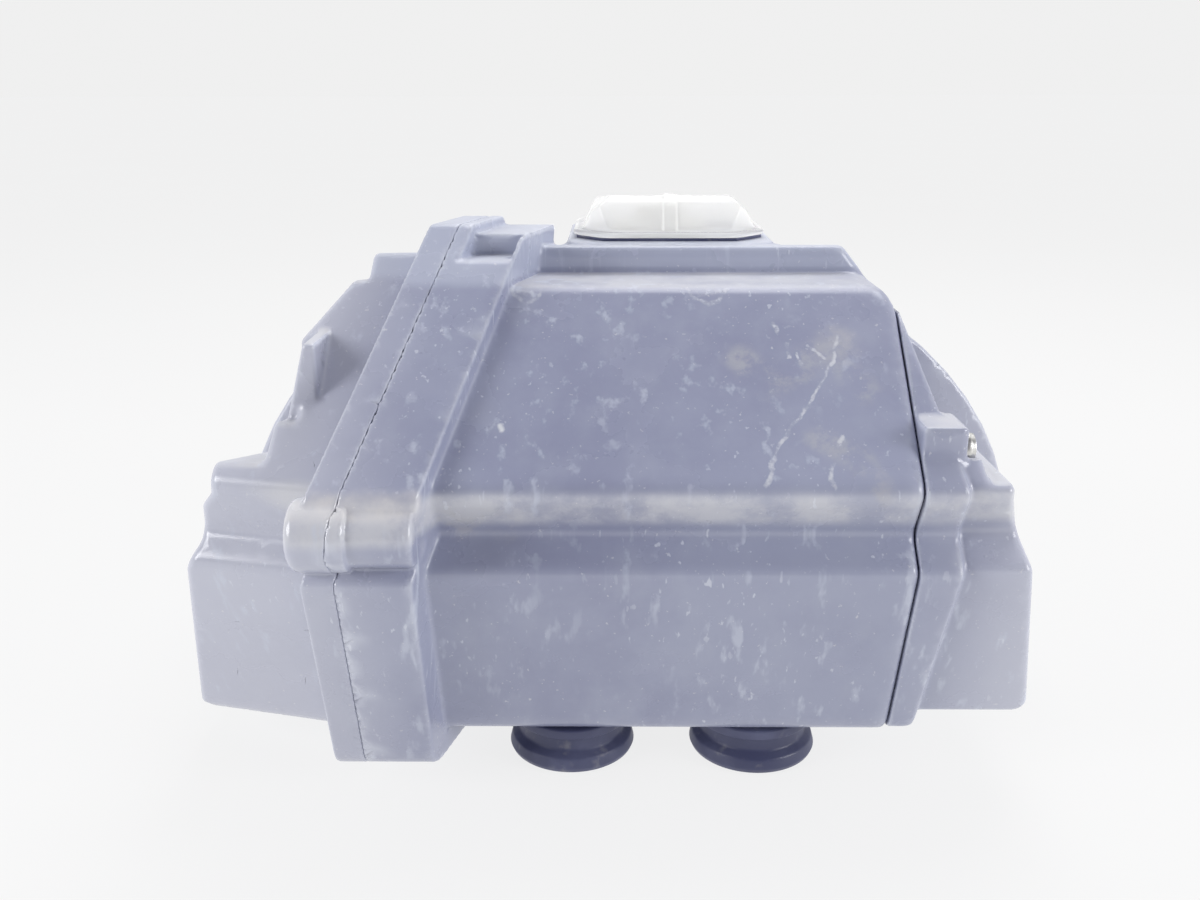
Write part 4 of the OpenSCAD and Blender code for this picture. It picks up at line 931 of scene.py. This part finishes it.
def pale_floor():
    """A wide pale floor that reaches as far as the camera can see."""
    reach = 40.0
    corners = [(-reach, -reach), (reach, -reach), (reach, reach), (-reach, reach)]
    floor = new_piece("studio_floor", [(x, y, FLOOR_TOP) for x, y in corners], [(0, 1, 2, 3)])
    look = Look("studio_floor")
    shade = look.mix(look.noise(3, 2), (0.115, 0.115, 0.115), (0.125, 0.125, 0.125))
    look.shader.inputs["Emission Color"].default_value = (1, 1, 1, 1)
    look.shader.inputs["Emission Strength"].default_value = 0.745
    look.shader.inputs["Specular IOR Level"].default_value = 0.0
    floor.data.materials.append(look.finish(shade, 1.0))


def soft_light(name, place, target, size, power):
    data = bpy.data.lights.new(name, "AREA")
    data.shape = "DISK"
    data.size = size
    data.energy = power
    lamp = bpy.data.objects.new(name, data)
    lamp.location = place
    lamp.rotation_euler = (Vector(target) - Vector(place)).to_track_quat("-Z", "Y").to_euler()
    bpy.context.scene.collection.objects.link(lamp)


def studio_sky():
    """A soft white room with a darker zone above and behind the camera."""
    world = bpy.data.worlds.new("studio")
    world.use_nodes = True
    tree = world.node_tree
    background = next(n for n in tree.nodes if n.type == "BACKGROUND")
    place = tree.nodes.new("ShaderNodeTexCoord")
    aim = tree.nodes.new("ShaderNodeVectorMath")
    aim.operation = "DOT_PRODUCT"
    aim.inputs[1].default_value = (0.0, -0.72, 0.69)
    ramp = tree.nodes.new("ShaderNodeValToRGB")
    ramp.color_ramp.interpolation = "EASE"
    ramp.color_ramp.elements[0].position = 0.35
    ramp.color_ramp.elements[0].color = (0.80, 0.80, 0.80, 1)
    ramp.color_ramp.elements[1].position = 0.80
    ramp.color_ramp.elements[1].color = (0.12, 0.12, 0.15, 1)
    tree.links.new(place.outputs["Generated"], aim.inputs[0])
    tree.links.new(aim.outputs["Value"], ramp.inputs["Fac"])
    tree.links.new(ramp.outputs["Color"], background.inputs["Color"])
    background.inputs["Strength"].default_value = 1.0
    bpy.context.scene.world = world


pale_floor()
studio_sky()
soft_light("left", (-0.9, -0.45, 0.45), (-0.1, 0, 0.08), 0.5, 4)
soft_light("top", (0.15, 0.35, 0.9), (0, 0, 0.08), 0.7, 4)
soft_light("right", (0.9, -0.45, 0.40), (0.1, 0, 0.08), 0.5, 4)

camera_data = bpy.data.cameras.new("camera")
camera_data.lens = CAMERA_LENS
camera_data.sensor_width = 36
camera = bpy.data.objects.new("camera", camera_data)
camera.location = Vector(CAMERA_PLACE) * MM
camera.rotation_euler = [math.radians(angle) for angle in CAMERA_ANGLES]
bpy.context.scene.collection.objects.link(camera)
bpy.context.scene.camera = camera
bpy.context.scene.view_settings.view_transform = "Standard"
bpy.context.scene.view_settings.exposure = 0.12
